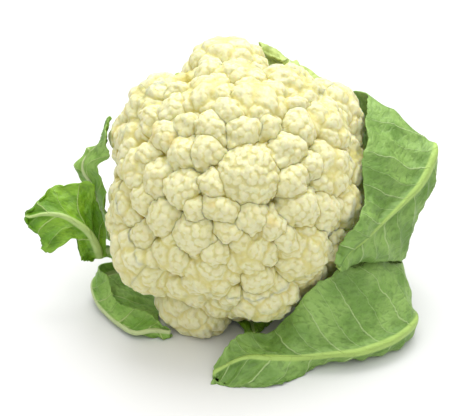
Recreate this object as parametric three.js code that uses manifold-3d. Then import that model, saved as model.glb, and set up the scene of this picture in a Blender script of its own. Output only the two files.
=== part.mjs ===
// A trimmed head of cauliflower lying on its side: the curd, its cut stalk and the leaves left on it.
// Millimetres, +Z up. The curd faces -Y and a little up, and the surface it lies on is z = 0.
import * as THREE from "three";
import { ConvexHull } from "three/addons/math/ConvexHull.js";
import { mergeVertices } from "three/addons/utils/BufferGeometryUtils.js";
import Module from "manifold-3d";

const wasm = await Module();
wasm.setup();

// ---- Driving dimensions ----

const CURD_CENTRE = new THREE.Vector3(0, 0, 81); // middle of the round head, above the surface
const CURD_REACH = 84; // from that middle out to the floret tops
const AXIS_LIFT = 35; // degrees that the head's axis points up from level
const STALK_RADIUS = 22;
const STALK_END = -86; // along the axis from the curd's middle, at the cut
const STALK_TOP = -58; // where the curd's branches begin
const GAP = 0.3; // between pieces that touch
const HEAD_OFFSET = new THREE.Vector3(2.2, 8.5, 0); // puts the frame's origin under the middle

const FLORET_SEED = 7411;
const FLORET_AT_APEX = 6; // radius of the finest florets, in the middle of the curd
const FLORET_AT_RIM = 17; // radius of florets a quarter turn from the middle
const FLORET_SPACING = 0.8; // of two radii, so that neighbouring florets run into each other
const FLORET_SINK = 0.9; // of its radius that a floret's middle lies under the curd's reach
const LAST_FLORET = 106; // degrees from the axis
const FINE_FROM = 9; // radius from which a floret has 32 lumps round it, and under it 12
const LUMP_DEPTH = 0.12; // of a floret's radius, between its lumps
const CREASE_DEPTH = 1.5; // that a crease between florets is sunk
const CREASE_STEP = 4; // between points along a crease
const FLUTES = 12; // branches that show on the underside
const FLUTE_DEPTH = 0.06; // of the distance from the axis

const BLADE = 1.6; // thickness of a leaf's blade
const LEAF_CLEARANCE = 3; // from a leaf's middle surface to the floret tops

// ---- Places round the head ----

const lift = THREE.MathUtils.degToRad(AXIS_LIFT);
const AXIS = new THREE.Vector3(0, -Math.cos(lift), Math.sin(lift));
const ACROSS = new THREE.Vector3(1, 0, 0);
const UPWARD = new THREE.Vector3(0, Math.sin(lift), Math.cos(lift)); // square to the axis

/** A point given by its bearing in degrees round the axis (0 is +X), how far out and how far along. */
function round(bearing, out, along) {
  const turn = THREE.MathUtils.degToRad(bearing);
  return CURD_CENTRE.clone()
    .addScaledVector(AXIS, along)
    .addScaledVector(ACROSS, out * Math.cos(turn))
    .addScaledVector(UPWARD, out * Math.sin(turn));
}

function directionAt(bearing, offAxis) {
  const tilt = THREE.MathUtils.degToRad(offAxis);
  return round(bearing, Math.sin(tilt), Math.cos(tilt)).sub(CURD_CENTRE);
}

// ---- Solids ----

function toSolid(geometry) {
  geometry.deleteAttribute("normal");
  geometry.deleteAttribute("uv");
  const merged = mergeVertices(geometry, 1e-5);
  const mesh = new wasm.Mesh({
    numProp: 3,
    vertProperties: merged.attributes.position.array,
    triVerts: merged.index.array,
  });
  return new wasm.Manifold(mesh);
}

function toGeometry(solid) {
  const mesh = solid.getMesh();
  const geometry = new THREE.BufferGeometry();
  geometry.setAttribute("position", new THREE.BufferAttribute(mesh.vertProperties, 3));
  geometry.setIndex(new THREE.BufferAttribute(mesh.triVerts, 1));
  return geometry;
}

/** Everything under the surface, which cuts a flat spot on what would sink into it. */
function underSurface() {
  const depth = 60;
  const slab = new THREE.BoxGeometry(400, 400, depth);
  slab.translate(0, 0, -depth / 2);
  return toSolid(slab);
}

// ---- Florets ----

/** A repeatable run of draws between 0 and 1. */
function drawsFrom(seed) {
  let state = seed;
  return () => {
    state = (state * 16807) % 2147483647;
    return state / 2147483647;
  };
}

// The large florets that give the head its outline: bearing, degrees off the axis, radius, extra reach.
const MAIN_FLORETS = [
  [95, 78, 23, 7],
  [109, 39, 16, 0],
  [71, 36, 18, 0],
  [56, 58, 15, 3],
  [137, 66, 18, 4],
  [160, 60, 14, -1],
  [31, 54, 16, 3],
  [36, 78, 19, 8],
  [5, 47, 16, 0],
  [-13, 62, 14, 0],
  [-160, 24, 11, 0],
  [-122, 33, 11, 0],
  [-140, 71, 21, 8],
  [-166, 62, 15, 0],
  [-105, 51, 15, 0],
  [-108, 96, 20, 13],
  [-78, 36, 13, 0],
  [-75, 68, 18, 6],
  [-47, 52, 15, 3],
  [-28, 34, 11, 0],
  [178, 70, 14, -8],
  [166, 94, 15, -9],
  [-170, 92, 14, -5],
  [68, 82, 16, -7],
  [72, 62, 12, -9],
  [119, 82, 16, -9],
  [117, 62, 12, -5],
  [84, 100, 16, -6],
  [52, 96, 16, -5],
  [118, 104, 15, -8],
];

function floretRadius(offAxis) {
  return FLORET_AT_APEX + (FLORET_AT_RIM - FLORET_AT_APEX) * (offAxis / 90);
}

function makeFloret(bearing, offAxis, radius, extraReach) {
  const direction = directionAt(bearing, offAxis);
  const reach = CURD_REACH + extraReach - FLORET_SINK * radius;
  return { direction, radius, offAxis, centre: direction.clone().multiplyScalar(reach) };
}

/** Main florets first. The rest fill in along a golden-angle spiral from the apex, large before small. */
function placeFlorets() {
  const florets = MAIN_FLORETS.map((values) => makeFloret(...values));
  const places = 900;
  for (const size of [1, 0.78, 0.6]) {
    for (let i = 0; i < places; i += 1) {
      const bearing = (i * 137.508) % 360;
      const rise = 1 - (i / places) * (1 - Math.cos(THREE.MathUtils.degToRad(LAST_FLORET)));
      const offAxis = THREE.MathUtils.radToDeg(Math.acos(rise));
      const floret = makeFloret(bearing, offAxis, floretRadius(offAxis) * size, 0);
      const fits = florets.every((other) => {
        const room = FLORET_SPACING * (other.radius + floret.radius);
        return other.direction.distanceTo(floret.direction) * CURD_REACH * 0.9 >= room;
      });
      if (fits) {
        florets.push(floret);
      }
    }
  }
  return florets;
}

/** Evenly spread directions; the first of them stand out as lumps and the others lie between them. */
function lumpDirections(detail) {
  const corner = new THREE.IcosahedronGeometry(1, 0).attributes.position;
  const corners = [0, 1, 2].map((start) => {
    const list = [];
    for (let i = start; i < corner.count; i += 3) {
      list.push(new THREE.Vector3().fromBufferAttribute(corner, i).normalize());
    }
    return list;
  });
  const lumps = corners.flat();
  if (detail === 2) {
    corners[0].forEach((first, i) => {
      lumps.push(first.clone().add(corners[1][i]).add(corners[2][i]).normalize());
    });
  }
  const all = new THREE.IcosahedronGeometry(1, detail).attributes.position;
  const directions = [];
  for (let i = 0; i < all.count; i += 1) {
    const direction = new THREE.Vector3().fromBufferAttribute(all, i).normalize();
    if (!directions.some((other) => other.direction.dot(direction) > 0.999)) {
      directions.push({ direction, lump: lumps.some((lump) => lump.dot(direction) > 0.999) });
    }
  }
  return directions;
}

const COARSE_LUMPS = lumpDirections(1);
const FINE_LUMPS = lumpDirections(2);

/** How far from the curd's middle the florets reach in a direction. */
function reachOfFlorets(direction, margin) {
  let reach = 0;
  for (const floret of florets) {
    const along = floret.centre.dot(direction);
    const aside = floret.centre.lengthSq() - along * along;
    const radius = floret.radius + margin;
    if (along > 0 && aside < radius * radius) {
      reach = Math.max(reach, along + Math.sqrt(radius * radius - aside));
    }
  }
  return reach;
}

function isOutermost(point) {
  const distance = point.length();
  return distance > reachOfFlorets(point.clone().divideScalar(distance), 0) - 0.01;
}

function isClear(point, owners, room) {
  return florets.every(
    (floret) => owners.includes(floret) || point.distanceTo(floret.centre) > floret.radius + room,
  );
}

/** The lumps of one floret that aren't buried in its neighbours. */
function lumpPoints(floret, draw) {
  const turn = new THREE.Quaternion().setFromEuler(
    new THREE.Euler(draw() * 6.283, draw() * 6.283, draw() * 6.283),
  );
  const points = [];
  for (const { direction, lump } of floret.radius > FINE_FROM ? FINE_LUMPS : COARSE_LUMPS) {
    const outward = direction.clone().applyQuaternion(turn);
    const place = outward.clone().multiplyScalar(floret.radius).add(floret.centre);
    if (isOutermost(place) && isClear(place, [floret], 0.09 * floret.radius)) {
      const height = lump ? 0 : -LUMP_DEPTH * floret.radius;
      points.push(place.addScaledVector(outward, height));
    }
  }
  return points;
}

/** Points down the crease where two florets meet, sunk a little deeper than the florets' own surfaces. */
function creasePoints(first, second) {
  const across = second.centre.clone().sub(first.centre);
  const distance = across.length();
  if (distance > first.radius + second.radius || distance < Math.abs(first.radius - second.radius)) {
    return [];
  }
  across.divideScalar(distance);
  const toPlane = (distance ** 2 + first.radius ** 2 - second.radius ** 2) / (2 * distance);
  const ring = Math.sqrt(first.radius ** 2 - toPlane ** 2);
  const middle = first.centre.clone().addScaledVector(across, toPlane);
  const outward = middle.clone().addScaledVector(across, -middle.dot(across)).normalize();
  const aside = new THREE.Vector3().crossVectors(across, outward);
  const points = [];
  const steps = Math.round(ring / CREASE_STEP) + 1;
  for (let i = -steps; i <= steps; i += 1) {
    const turn = (i / steps) * 1.5;
    const place = middle
      .clone()
      .addScaledVector(outward, ring * Math.cos(turn))
      .addScaledVector(aside, ring * Math.sin(turn));
    if (isOutermost(place) && isClear(place, [first, second], 0.8)) {
      points.push(place.addScaledVector(outward, -CREASE_DEPTH));
    }
  }
  return points;
}

/** The branches that carry the florets, run together: a fluted cone from the stalk to the last florets. */
function branchPoints() {
  const profile = [
    [STALK_RADIUS, STALK_TOP + GAP],
    [30, -51],
    [42, -42],
    [55, -31],
    [66, -19],
    [71, -8],
  ];
  const points = [new THREE.Vector3(0, 0, 0).addScaledVector(AXIS, STALK_TOP + GAP)];
  const bearings = 2 * FLUTES;
  profile.forEach(([out, along], ring) => {
    for (let i = 0; i < bearings; i += 1) {
      const flute = ring === 0 ? 1 : 1 + FLUTE_DEPTH * (i % 2 === 0 ? 1 : -1);
      const place = round((i / bearings) * 360, out * flute, along).sub(CURD_CENTRE);
      if (place.length() > reachOfFlorets(place.clone().normalize(), 1.5)) {
        points.push(place);
      }
    }
  });
  return points;
}

const florets = placeFlorets();

/** The curd's skin: each point keeps its own distance, and the skin joins them as seen from the middle. */
function curdSolid() {
  const draw = drawsFrom(FLORET_SEED);
  const points = branchPoints();
  florets.forEach((floret, i) => {
    points.push(...lumpPoints(floret, draw));
    for (const other of florets.slice(i + 1)) {
      points.push(...creasePoints(floret, other));
    }
  });
  const directions = points.map((point) => point.clone().normalize());
  const hull = new ConvexHull().setFromPoints(directions);
  const numberOf = new Map(directions.map((direction, i) => [direction, i]));
  const index = [];
  for (const face of hull.faces) {
    let edge = face.edge;
    do {
      index.push(numberOf.get(edge.head().point));
      edge = edge.next;
    } while (edge !== face.edge);
  }
  const geometry = new THREE.BufferGeometry();
  const places = points.flatMap((point) => point.clone().add(CURD_CENTRE).toArray());
  geometry.setAttribute("position", new THREE.Float32BufferAttribute(places, 3));
  geometry.setIndex(index);
  return toSolid(geometry).subtract(underSurface());
}

// ---- Stalk ----

function stalkGeometry() {
  const profile = [
    [0, STALK_END],
    [STALK_RADIUS - 2, STALK_END],
    [STALK_RADIUS, STALK_END + 2],
    [STALK_RADIUS - 1, -72],
    [STALK_RADIUS, STALK_TOP],
    [0, STALK_TOP],
  ].map(([out, along]) => new THREE.Vector2(out, along));
  const lathe = new THREE.LatheGeometry(profile, 28);
  const position = lathe.attributes.position;
  for (let i = 0; i < position.count; i += 1) {
    const bearing = THREE.MathUtils.radToDeg(Math.atan2(-position.getZ(i), position.getX(i)));
    const out = Math.hypot(position.getX(i), position.getZ(i));
    const place = round(bearing, out, position.getY(i));
    position.setXYZ(i, place.x, place.y, place.z);
  }
  return lathe;
}

// ---- Leaves ----

/** One station of a leaf: a point on the midrib and one on each margin. */
function at(rib, left, right) {
  return {
    rib: new THREE.Vector3(...rib),
    left: new THREE.Vector3(...left),
    right: new THREE.Vector3(...right),
  };
}

/** A station on the stem behind the curd, where the leaf lies round the head. */
function stem(bearing, out, along, halfWidth) {
  const turn = THREE.MathUtils.degToRad(bearing);
  const aside = ACROSS.clone().multiplyScalar(-Math.sin(turn)).addScaledVector(UPWARD, Math.cos(turn));
  const rib = round(bearing, out, along);
  return {
    rib,
    left: rib.clone().addScaledVector(aside, halfWidth),
    right: rib.clone().addScaledVector(aside, -halfWidth),
  };
}

function curveThrough(points) {
  return new THREE.CatmullRomCurve3(points, false, "catmullrom", 0.5);
}

function awayFromCurd(point) {
  const direction = point.clone().sub(CURD_CENTRE);
  const distance = direction.length();
  direction.normalize();
  const least = reachOfFlorets(direction, LEAF_CLEARANCE);
  return distance < least ? CURD_CENTRE.clone().addScaledVector(direction, least) : point;
}

/**
 * A leaf as one closed solid. Its midrib is raised on the outer face and tapers from the base to the tip,
 * its margins are waved and notched, and what would sink into the surface lies flat on it.
 */
function leafGeometry(leaf) {
  const rows = leaf.rows;
  const rib = curveThrough(leaf.stations.map((station) => station.rib));
  const margins = [
    curveThrough(leaf.stations.map((station) => station.left)),
    curveThrough(leaf.stations.map((station) => station.right)),
  ];
  const steps = [0.35, 0.7, 1];
  const columns = 2 * steps.length + 3;
  const surface = [];
  const ridge = [];
  for (let row = 0; row <= rows; row += 1) {
    const share = row / rows;
    const middle = rib.getPoint(share);
    const ribHalf = THREE.MathUtils.lerp(leaf.ribWidth / 2, 0.8, Math.sqrt(share));
    const ribHeight = THREE.MathUtils.lerp(leaf.ribWidth * 0.45, 0.5, Math.sqrt(share));
    const line = [];
    const heights = [];
    margins.forEach((margin, side) => {
      const edge = margin.getPoint(share);
      const span = edge.clone().sub(middle);
      const outward = middle.clone().sub(CURD_CENTRE).normalize();
      const foot = Math.min(0.8, ribHalf / span.length());
      const grown = THREE.MathUtils.smoothstep(share, 0.25, 0.5);
      const notch = 1 - leaf.notch * grown * (0.5 + 0.5 * Math.sin(leaf.notches * share * 6.283 + side * 2));
      const half = [foot, ...steps.map((step) => foot + (1 - foot) * step)].map((step) => {
        const place = middle.clone().addScaledVector(span, step * (step === 1 ? notch : 1));
        const belly = leaf.belly * grown * 4 * step * (1 - step);
        const wave = leaf.wave * grown * step * step * Math.sin(leaf.waves * share * 6.283 + side * 1.9);
        return place.addScaledVector(outward, belly + wave);
      });
      if (side === 0) {
        line.push(...half.reverse());
        heights.push(0, 0, 0, 0.5 * ribHeight, ribHeight);
        line.push(middle);
      } else {
        line.push(...half);
        heights.push(0.5 * ribHeight, 0, 0, 0);
      }
    });
    surface.push(line.map(awayFromCurd));
    ridge.push(heights);
  }
  return leafShell(surface, ridge, columns);
}

/** Two faces a blade's thickness apart over a grid of points, closed along the margins and both ends. */
function leafShell(surface, ridge, columns) {
  const lastRow = surface.length - 1;
  const along = new THREE.Vector3();
  const aside = new THREE.Vector3();
  const outer = [];
  const inner = [];
  for (let row = 0; row <= lastRow; row += 1) {
    for (let column = 0; column < columns; column += 1) {
      const point = surface[row][column];
      along.subVectors(surface[Math.min(row + 1, lastRow)][column], surface[Math.max(row - 1, 0)][column]);
      aside.subVectors(
        surface[row][Math.min(column + 1, columns - 1)],
        surface[row][Math.max(column - 1, 0)],
      );
      const normal = new THREE.Vector3().crossVectors(along, aside).normalize();
      const out = point.clone().addScaledVector(normal, BLADE / 2 + ridge[row][column]);
      const within = point.clone().addScaledVector(normal, -BLADE / 2);
      const lower = out.z < within.z ? out : within;
      const upper = lower === out ? within : out;
      lower.z = Math.max(lower.z, 0);
      upper.z = Math.max(upper.z, BLADE);
      outer.push(out);
      inner.push(within);
    }
  }
  const index = [];
  const innerStart = outer.length;
  const quad = (a, b, c, d) => index.push(a, b, c, a, c, d);
  for (let row = 0; row < lastRow; row += 1) {
    for (let column = 0; column < columns - 1; column += 1) {
      const a = row * columns + column;
      const b = a + columns;
      quad(a, b, b + 1, a + 1);
      index.push(innerStart + a, innerStart + b + 1, innerStart + b);
      index.push(innerStart + a, innerStart + a + 1, innerStart + b + 1);
    }
    const left = row * columns;
    const right = left + columns - 1;
    quad(left, innerStart + left, innerStart + left + columns, left + columns);
    quad(right, right + columns, innerStart + right + columns, innerStart + right);
  }
  for (let column = 0; column < columns - 1; column += 1) {
    const tip = lastRow * columns + column;
    quad(column, column + 1, innerStart + column + 1, innerStart + column);
    quad(tip, innerStart + tip, innerStart + tip + 1, tip + 1);
  }
  const geometry = new THREE.BufferGeometry();
  const points = [...outer, ...inner].flatMap((point) => [point.x, point.y, point.z]);
  geometry.setAttribute("position", new THREE.Float32BufferAttribute(points, 3));
  geometry.setIndex(index);
  return geometry;
}

const OUTER_GREEN = 0x7da066;
const FRESH_GREEN = 0x74a844;
const PALE_GREEN = 0xc9dc8a;

const LEAVES = [
  {
    name: "leaf_right_upper",
    colour: OUTER_GREEN,
    ribWidth: 13,
    rows: 20,
    belly: 3,
    wave: 2,
    waves: 4,
    notch: 0.06,
    notches: 9,
    stations: [
      stem(8, 22.2, -70, 6.5),
      stem(9, 50, -62, 12),
      stem(10, 86, -40, 26),
      at([110, 24, 90], [73, 43, 124], [105, -3, 52]),
      at([123, 5, 105], [84, 25, 132], [121, 2, 84]),
      at([114, -12, 92], [78, 2, 128], [121, -5, 80]),
      at([104, -22, 85], [75, -20, 120], [115, -15, 66]),
      at([88, -38, 78], [77, -37, 98], [105, -26, 44]),
      at([74, -52, 72], [70, -51, 88], [86, -44, 53]),
      at([66, -58, 69], [64, -59, 78], [70, -56, 58]),
      at([59, -64, 62], [58, -64, 65], [60, -64, 60]),
    ],
  },
  {
    name: "leaf_right_lower",
    colour: OUTER_GREEN,
    ribWidth: 13,
    rows: 22,
    belly: 4,
    wave: 2,
    waves: 4,
    notch: 0.07,
    notches: 10,
    stations: [
      stem(-38, 22.2, -74, 6),
      stem(-39, 50, -66, 9),
      stem(-39, 84, -46, 18),
      at([88, -18, 9], [93, 12, 34], [95, -30, 2]),
      at([110, -44, 14], [105, -20, 37], [112, -41, 2]),
      at([98, -66, 14], [92, -34, 48], [102, -56, 1]),
      at([75, -79, 13], [68, -48, 56], [76, -71, 1]),
      at([57, -82, 13], [52, -63, 55], [58, -73, 1]),
      at([40, -83, 12], [38, -68, 40], [44, -82, 1]),
      at([21, -84, 11], [22, -62, 18], [24, -99, 1]),
      at([5, -83, 10], [2, -68, 14], [2, -100, 1]),
      at([-13, -87, 3], [-12, -83, 5], [-13, -91, 2]),
    ],
  },
  {
    name: "leaf_left",
    colour: FRESH_GREEN,
    ribWidth: 10,
    rows: 24,
    belly: 2,
    wave: 2,
    waves: 4,
    notch: 0.08,
    notches: 7,
    stations: [
      stem(210, 22.2, -74, 4),
      stem(212, 54, -63, 6),
      stem(211, 84, -43, 7),
      at([-81, 2, 31], [-79, -3, 29], [-84, 6, 33]),
      at([-86, -9, 36], [-82, -9, 38], [-90, -10, 33]),
      at([-87, -14, 44], [-83, -6, 53], [-93, -18, 37]),
      at([-91, -17, 57], [-84, -4, 70], [-98, -21, 43]),
      at([-98, -18, 65], [-87, -4, 83], [-102, -22, 55]),
      at([-107, -18, 70], [-99, -5, 87], [-112, -28, 48]),
      at([-117, -18, 71], [-112, -8, 85], [-120, -26, 54]),
      at([-125, -18, 69], [-124, -12, 76], [-126, -23, 63]),
      at([-128, -17, 69], [-128, -16, 71], [-128, -19, 67]),
    ],
  },
  {
    name: "leaf_left_lower",
    colour: FRESH_GREEN,
    ribWidth: 11,
    rows: 18,
    belly: 2,
    wave: 2,
    waves: 3,
    notch: 0.08,
    notches: 5,
    stations: [
      stem(233, 22.2, -78, 4),
      stem(232, 52, -69, 7),
      at([-70, 16, 8], [-57, 14, 2], [-75, 16, 15]),
      at([-87, 4, 10], [-50, 6, 1.2], [-87, 4, 20]),
      at([-91, -7, 11], [-44, -4, 1.2], [-87, -7, 23]),
      at([-88, -18, 6], [-42, -14, 1.2], [-83, -14, 21]),
      at([-81, -30, 5], [-45, -22, 1.2], [-77, -21, 16]),
      at([-72, -42, 5], [-47, -31, 1.2], [-70, -31, 13]),
      at([-62, -51, 5], [-46, -41, 1.2], [-61, -37, 12]),
      at([-51, -50, 6], [-45, -47, 1.2], [-51, -41, 10]),
      at([-40, -49, 5], [-39, -50, 2], [-40, -46, 7]),
    ],
  },
  {
    name: "leaf_left_upper",
    colour: FRESH_GREEN,
    ribWidth: 9,
    rows: 24,
    belly: 2,
    wave: 2,
    waves: 4,
    notch: 0.08,
    notches: 7,
    stations: [
      stem(189, 22.2, -69, 4),
      stem(193, 54, -56, 6),
      stem(198, 83, -35, 6),
      at([-84, 4, 44], [-81, -3, 45], [-86, 9, 44]),
      at([-84, 2, 60], [-79, -8, 60], [-86, 6, 61]),
      at([-85, 0, 73], [-78, -10, 70], [-87, 4, 74]),
      at([-88, 1, 83], [-82, -6, 88], [-91, 2, 79]),
      at([-93, 4, 89], [-82, -4, 97], [-98, 6, 81]),
      at([-93, 6, 95], [-79, -5, 103], [-98, 8, 88]),
      at([-88, 8, 101], [-76, -5, 110], [-92, 10, 95]),
      at([-81, 9, 108], [-74, -3, 117], [-84, 10, 103]),
      at([-76, 9, 117], [-73, 3, 121], [-78, 10, 115]),
      at([-75, 8, 123], [-74, 7, 124], [-76, 9, 122]),
    ],
  },
  {
    name: "leaf_top",
    colour: PALE_GREEN,
    ribWidth: 10,
    rows: 12,
    belly: 2,
    wave: 1.5,
    waves: 3,
    notch: 0.06,
    notches: 5,
    stations: [
      stem(66, 22.2, -68, 6),
      stem(66, 54, -56, 8),
      stem(66, 82, -28, 18),
      stem(66, 86, -10, 24),
      at([34, 45, 145], [15, 46, 157], [58, 37, 127]),
      at([34, 40, 141], [16, 43, 155], [54, 34, 130]),
    ],
  },
  {
    name: "leaf_top_left",
    colour: PALE_GREEN,
    ribWidth: 9,
    rows: 10,
    belly: 2,
    wave: 1.5,
    waves: 3,
    notch: 0.06,
    notches: 5,
    stations: [
      stem(119, 22.2, -68, 5),
      stem(119, 54, -56, 8),
      stem(119, 79, -32, 12),
      stem(119, 81, -18, 8),
      at([-37, 46, 134], [-40, 46, 132], [-35, 46, 134]),
    ],
  },
  {
    name: "leaf_under",
    colour: FRESH_GREEN,
    ribWidth: 8,
    rows: 10,
    belly: 0,
    wave: 1,
    waves: 3,
    notch: 0.06,
    notches: 4,
    stations: [
      stem(270, 22.2, -74, 4),
      at([2, 20, 4], [10, 20, 5], [-6, 20, 4]),
      at([6, -8, 1], [20, -8, 1], [-8, -8, 1]),
      at([10, -32, 1], [24, -32, 1], [-2, -32, 1]),
      at([12, -46, 1], [15, -46, 1], [9, -46, 1]),
    ],
  },
];

const STUB_BEARINGS = [38, 146, 294];

function stubLeaf(bearing, number) {
  return {
    name: `leaf_stub_${number}`,
    colour: PALE_GREEN,
    ribWidth: 12,
    rows: 3,
    belly: 0,
    wave: 0,
    waves: 1,
    notch: 0,
    notches: 1,
    stations: [stem(bearing, 22.2, -72, 4.5), stem(bearing, 38, -68, 6), stem(bearing, 52, -60, 6.5)],
  };
}

// ---- The head ----

const group = new THREE.Group();

function addPiece(name, geometry, colour, roughness) {
  const material = new THREE.MeshStandardMaterial({ color: colour, roughness, metalness: 0 });
  const mesh = new THREE.Mesh(geometry, material);
  mesh.name = name;
  group.add(mesh);
}

addPiece("curd", toGeometry(curdSolid()), 0xefe9c6, 0.75);
addPiece("stalk", stalkGeometry(), 0xdfe3b4, 0.6);
for (const leaf of LEAVES) {
  addPiece(leaf.name, leafGeometry(leaf), leaf.colour, 0.5);
}
STUB_BEARINGS.forEach((bearing, i) => {
  const stub = stubLeaf(bearing, i + 1);
  addPiece(stub.name, leafGeometry(stub), stub.colour, 0.5);
});
group.position.copy(HEAD_OFFSET);

export default group;
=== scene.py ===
# %% [markdown]
# # A trimmed head of cauliflower
# The head lies on its side on a pale surface. Its curd of cream florets faces the camera, and a few leaves
# that grow from the cut stalk behind fold round it. The packed CAD model is loaded first. It is the frame
# that every finer piece is built over, so nothing here is moved or resized.

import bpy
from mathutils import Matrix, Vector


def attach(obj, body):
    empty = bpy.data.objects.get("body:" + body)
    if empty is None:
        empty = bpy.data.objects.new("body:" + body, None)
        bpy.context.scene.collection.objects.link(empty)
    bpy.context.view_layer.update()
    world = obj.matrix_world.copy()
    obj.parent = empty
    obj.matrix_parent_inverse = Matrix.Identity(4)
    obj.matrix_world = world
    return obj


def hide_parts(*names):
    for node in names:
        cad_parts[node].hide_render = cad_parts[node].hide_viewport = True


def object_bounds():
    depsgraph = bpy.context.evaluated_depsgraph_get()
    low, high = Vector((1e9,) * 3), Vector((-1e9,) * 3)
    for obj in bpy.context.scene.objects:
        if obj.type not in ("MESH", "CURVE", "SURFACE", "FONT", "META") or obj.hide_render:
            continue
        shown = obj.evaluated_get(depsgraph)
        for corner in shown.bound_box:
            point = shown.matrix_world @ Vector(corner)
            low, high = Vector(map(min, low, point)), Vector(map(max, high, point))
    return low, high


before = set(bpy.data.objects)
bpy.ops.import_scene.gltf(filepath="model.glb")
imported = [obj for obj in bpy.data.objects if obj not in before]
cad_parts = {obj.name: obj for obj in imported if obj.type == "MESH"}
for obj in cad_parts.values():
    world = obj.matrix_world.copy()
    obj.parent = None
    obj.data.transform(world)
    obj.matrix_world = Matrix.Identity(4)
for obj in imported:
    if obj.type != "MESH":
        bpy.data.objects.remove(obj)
cad_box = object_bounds()
print("CAD box", [[round(value, 4) for value in corner] for corner in cad_box])

# %% [markdown]
# ## Places round the head
# The head has an axis of its own, from the cut stalk through the middle of the curd. Most of its pieces are
# easiest to place round that axis, by a bearing, a distance out and a distance along. Lengths are written
# in millimetres, as a grower would measure them, and turned into metres when a mesh is made.

# %% Driving sizes and the head's own axes
import math

import bpy
import numpy as np
from mathutils import Vector

MM = 0.001
CURD_CENTRE = np.array([0.0, 0.0, 81.0])
CURD_REACH = 84.0
AXIS_LIFT = math.radians(35)
STALK_RADIUS = 22.0
STALK_END = -86.0
STALK_TOP = -58.0
HEAD_OFFSET = np.array([2.2, 8.5, 0.0])

AXIS = np.array([0.0, -math.cos(AXIS_LIFT), math.sin(AXIS_LIFT)])
ACROSS = np.array([1.0, 0.0, 0.0])
UPWARD = np.array([0.0, math.sin(AXIS_LIFT), math.cos(AXIS_LIFT)])


def aside_at(bearing):
    """The direction straight out from the axis at a bearing in degrees, or at each of many."""
    turn = np.radians(bearing)[..., None]
    return np.cos(turn) * ACROSS + np.sin(turn) * UPWARD


def round_head(bearing, out, along):
    return CURD_CENTRE + along * AXIS + out * aside_at(bearing)


def direction_at(bearing, off_axis):
    tilt = math.radians(off_axis)
    return math.cos(tilt) * AXIS + math.sin(tilt) * aside_at(bearing)


def in_frame(points):
    """Millimetre points round the head as metres in the frame."""
    return (np.asarray(points, dtype=float) + HEAD_OFFSET) * MM


print("stalk's cut at", in_frame(round_head(0, 0, STALK_END)).round(4), "m")


# %% [markdown]
# ## From points to pieces
# Every piece ends as a plain mesh at the origin, its place in its vertices. One helper makes such a mesh
# from millimetre points, one keeps numbers on it for the finish, and one hands a piece to the frame.

# %% Mesh and hand-over helpers
EASE = 1.5 * MM


def smoothstep(value, low, high):
    share = np.clip((value - low) / (high - low), 0, 1)
    return share * share * (3 - 2 * share)


def unit(vectors):
    return vectors / np.maximum(np.linalg.norm(vectors, axis=-1, keepdims=True), 1e-9)


def held_inside(places):
    """Places eased back, within EASE, where they would pass the CAD box's sides or sink into the floor."""
    low, high = (np.array(corner) for corner in cad_box)
    past = np.maximum(places - (high - EASE), 0)
    places = places - past + EASE * (1 - np.exp(-past / EASE))
    past = np.maximum(low + EASE - places, 0) * [1, 1, 0]
    places = places + past - EASE * (1 - np.exp(-past / EASE))
    return np.maximum(places, [-math.inf, -math.inf, 0])


def make_mesh(name, points, faces):
    mesh = bpy.data.meshes.new(name)
    mesh.from_pydata(held_inside(in_frame(points)).tolist(), [], faces)
    mesh.polygons.foreach_set("use_smooth", [True] * len(mesh.polygons))
    mesh.update()
    return mesh


def store(mesh, name, values):
    """Keep a number, or three, for each point of a mesh."""
    values = np.asarray(values, dtype=float)
    kind, field = ("FLOAT", "value") if values.ndim == 1 else ("FLOAT_VECTOR", "vector")
    mesh.attributes.new(name, kind, "POINT").data.foreach_set(field, values.ravel())


def linked(name, data):
    made = bpy.data.objects.new(name, data)
    bpy.context.scene.collection.objects.link(made)
    return made


def add_piece(name, mesh, node, material):
    piece = linked(name, mesh)
    mesh.materials.clear()
    mesh.materials.append(material)
    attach(piece, "root")
    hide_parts(node)
    print(name, sum(len(face.vertices) - 2 for face in mesh.polygons), "triangles")


print("pieces are held", EASE, "m inside the CAD box")

# %% [markdown]
# ## Where the florets sit
# A curd grows from its middle in a golden-angle spiral, finest at the apex and coarser towards the rim. The
# large florets that shape this head's outline are given one by one. The rest try each place of the spiral
# in turn, large before small, and stay where they have room. It is the rule that the CAD model uses, so
# each floret here lies over its solid. Only the broad floret at the middle stands for several small ones.

# %% The rule for the florets
FLORET_AT_APEX = 6.0
FLORET_AT_RIM = 17.0
FLORET_SIZES = (1, 0.78, 0.6)
FLORET_SPACING = 0.8
FLORET_SINK = 0.9
LAST_FLORET = 106.0
SPIRAL_PLACES = 900
SPACED_AT = 0.9 * CURD_REACH
GOLDEN_ANGLE = 137.508

# Bearing, degrees off the axis, radius and extra reach. The last is the broad one at the middle.
MAIN_FLORETS = [
    (95, 78, 23, 7),
    (109, 39, 16, 0),
    (71, 36, 18, 0),
    (56, 58, 15, 3),
    (137, 66, 18, 4),
    (160, 60, 14, -1),
    (31, 54, 16, 3),
    (36, 78, 19, 8),
    (5, 47, 16, 0),
    (-13, 62, 14, 0),
    (-160, 24, 11, 0),
    (-122, 33, 11, 0),
    (-140, 71, 21, 8),
    (-166, 62, 15, 0),
    (-105, 51, 15, 0),
    (-108, 96, 20, 13),
    (-78, 36, 13, 0),
    (-75, 68, 18, 6),
    (-47, 52, 15, 3),
    (-28, 34, 11, 0),
    (178, 70, 14, -8),
    (166, 94, 15, -9),
    (-170, 92, 14, -5),
    (68, 82, 16, -7),
    (72, 62, 12, -9),
    (119, 82, 16, -9),
    (117, 62, 12, -5),
    (84, 100, 16, -6),
    (52, 96, 16, -5),
    (118, 104, 15, -8),
    (-2, 7, 20.5, 0.5),
]


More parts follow.
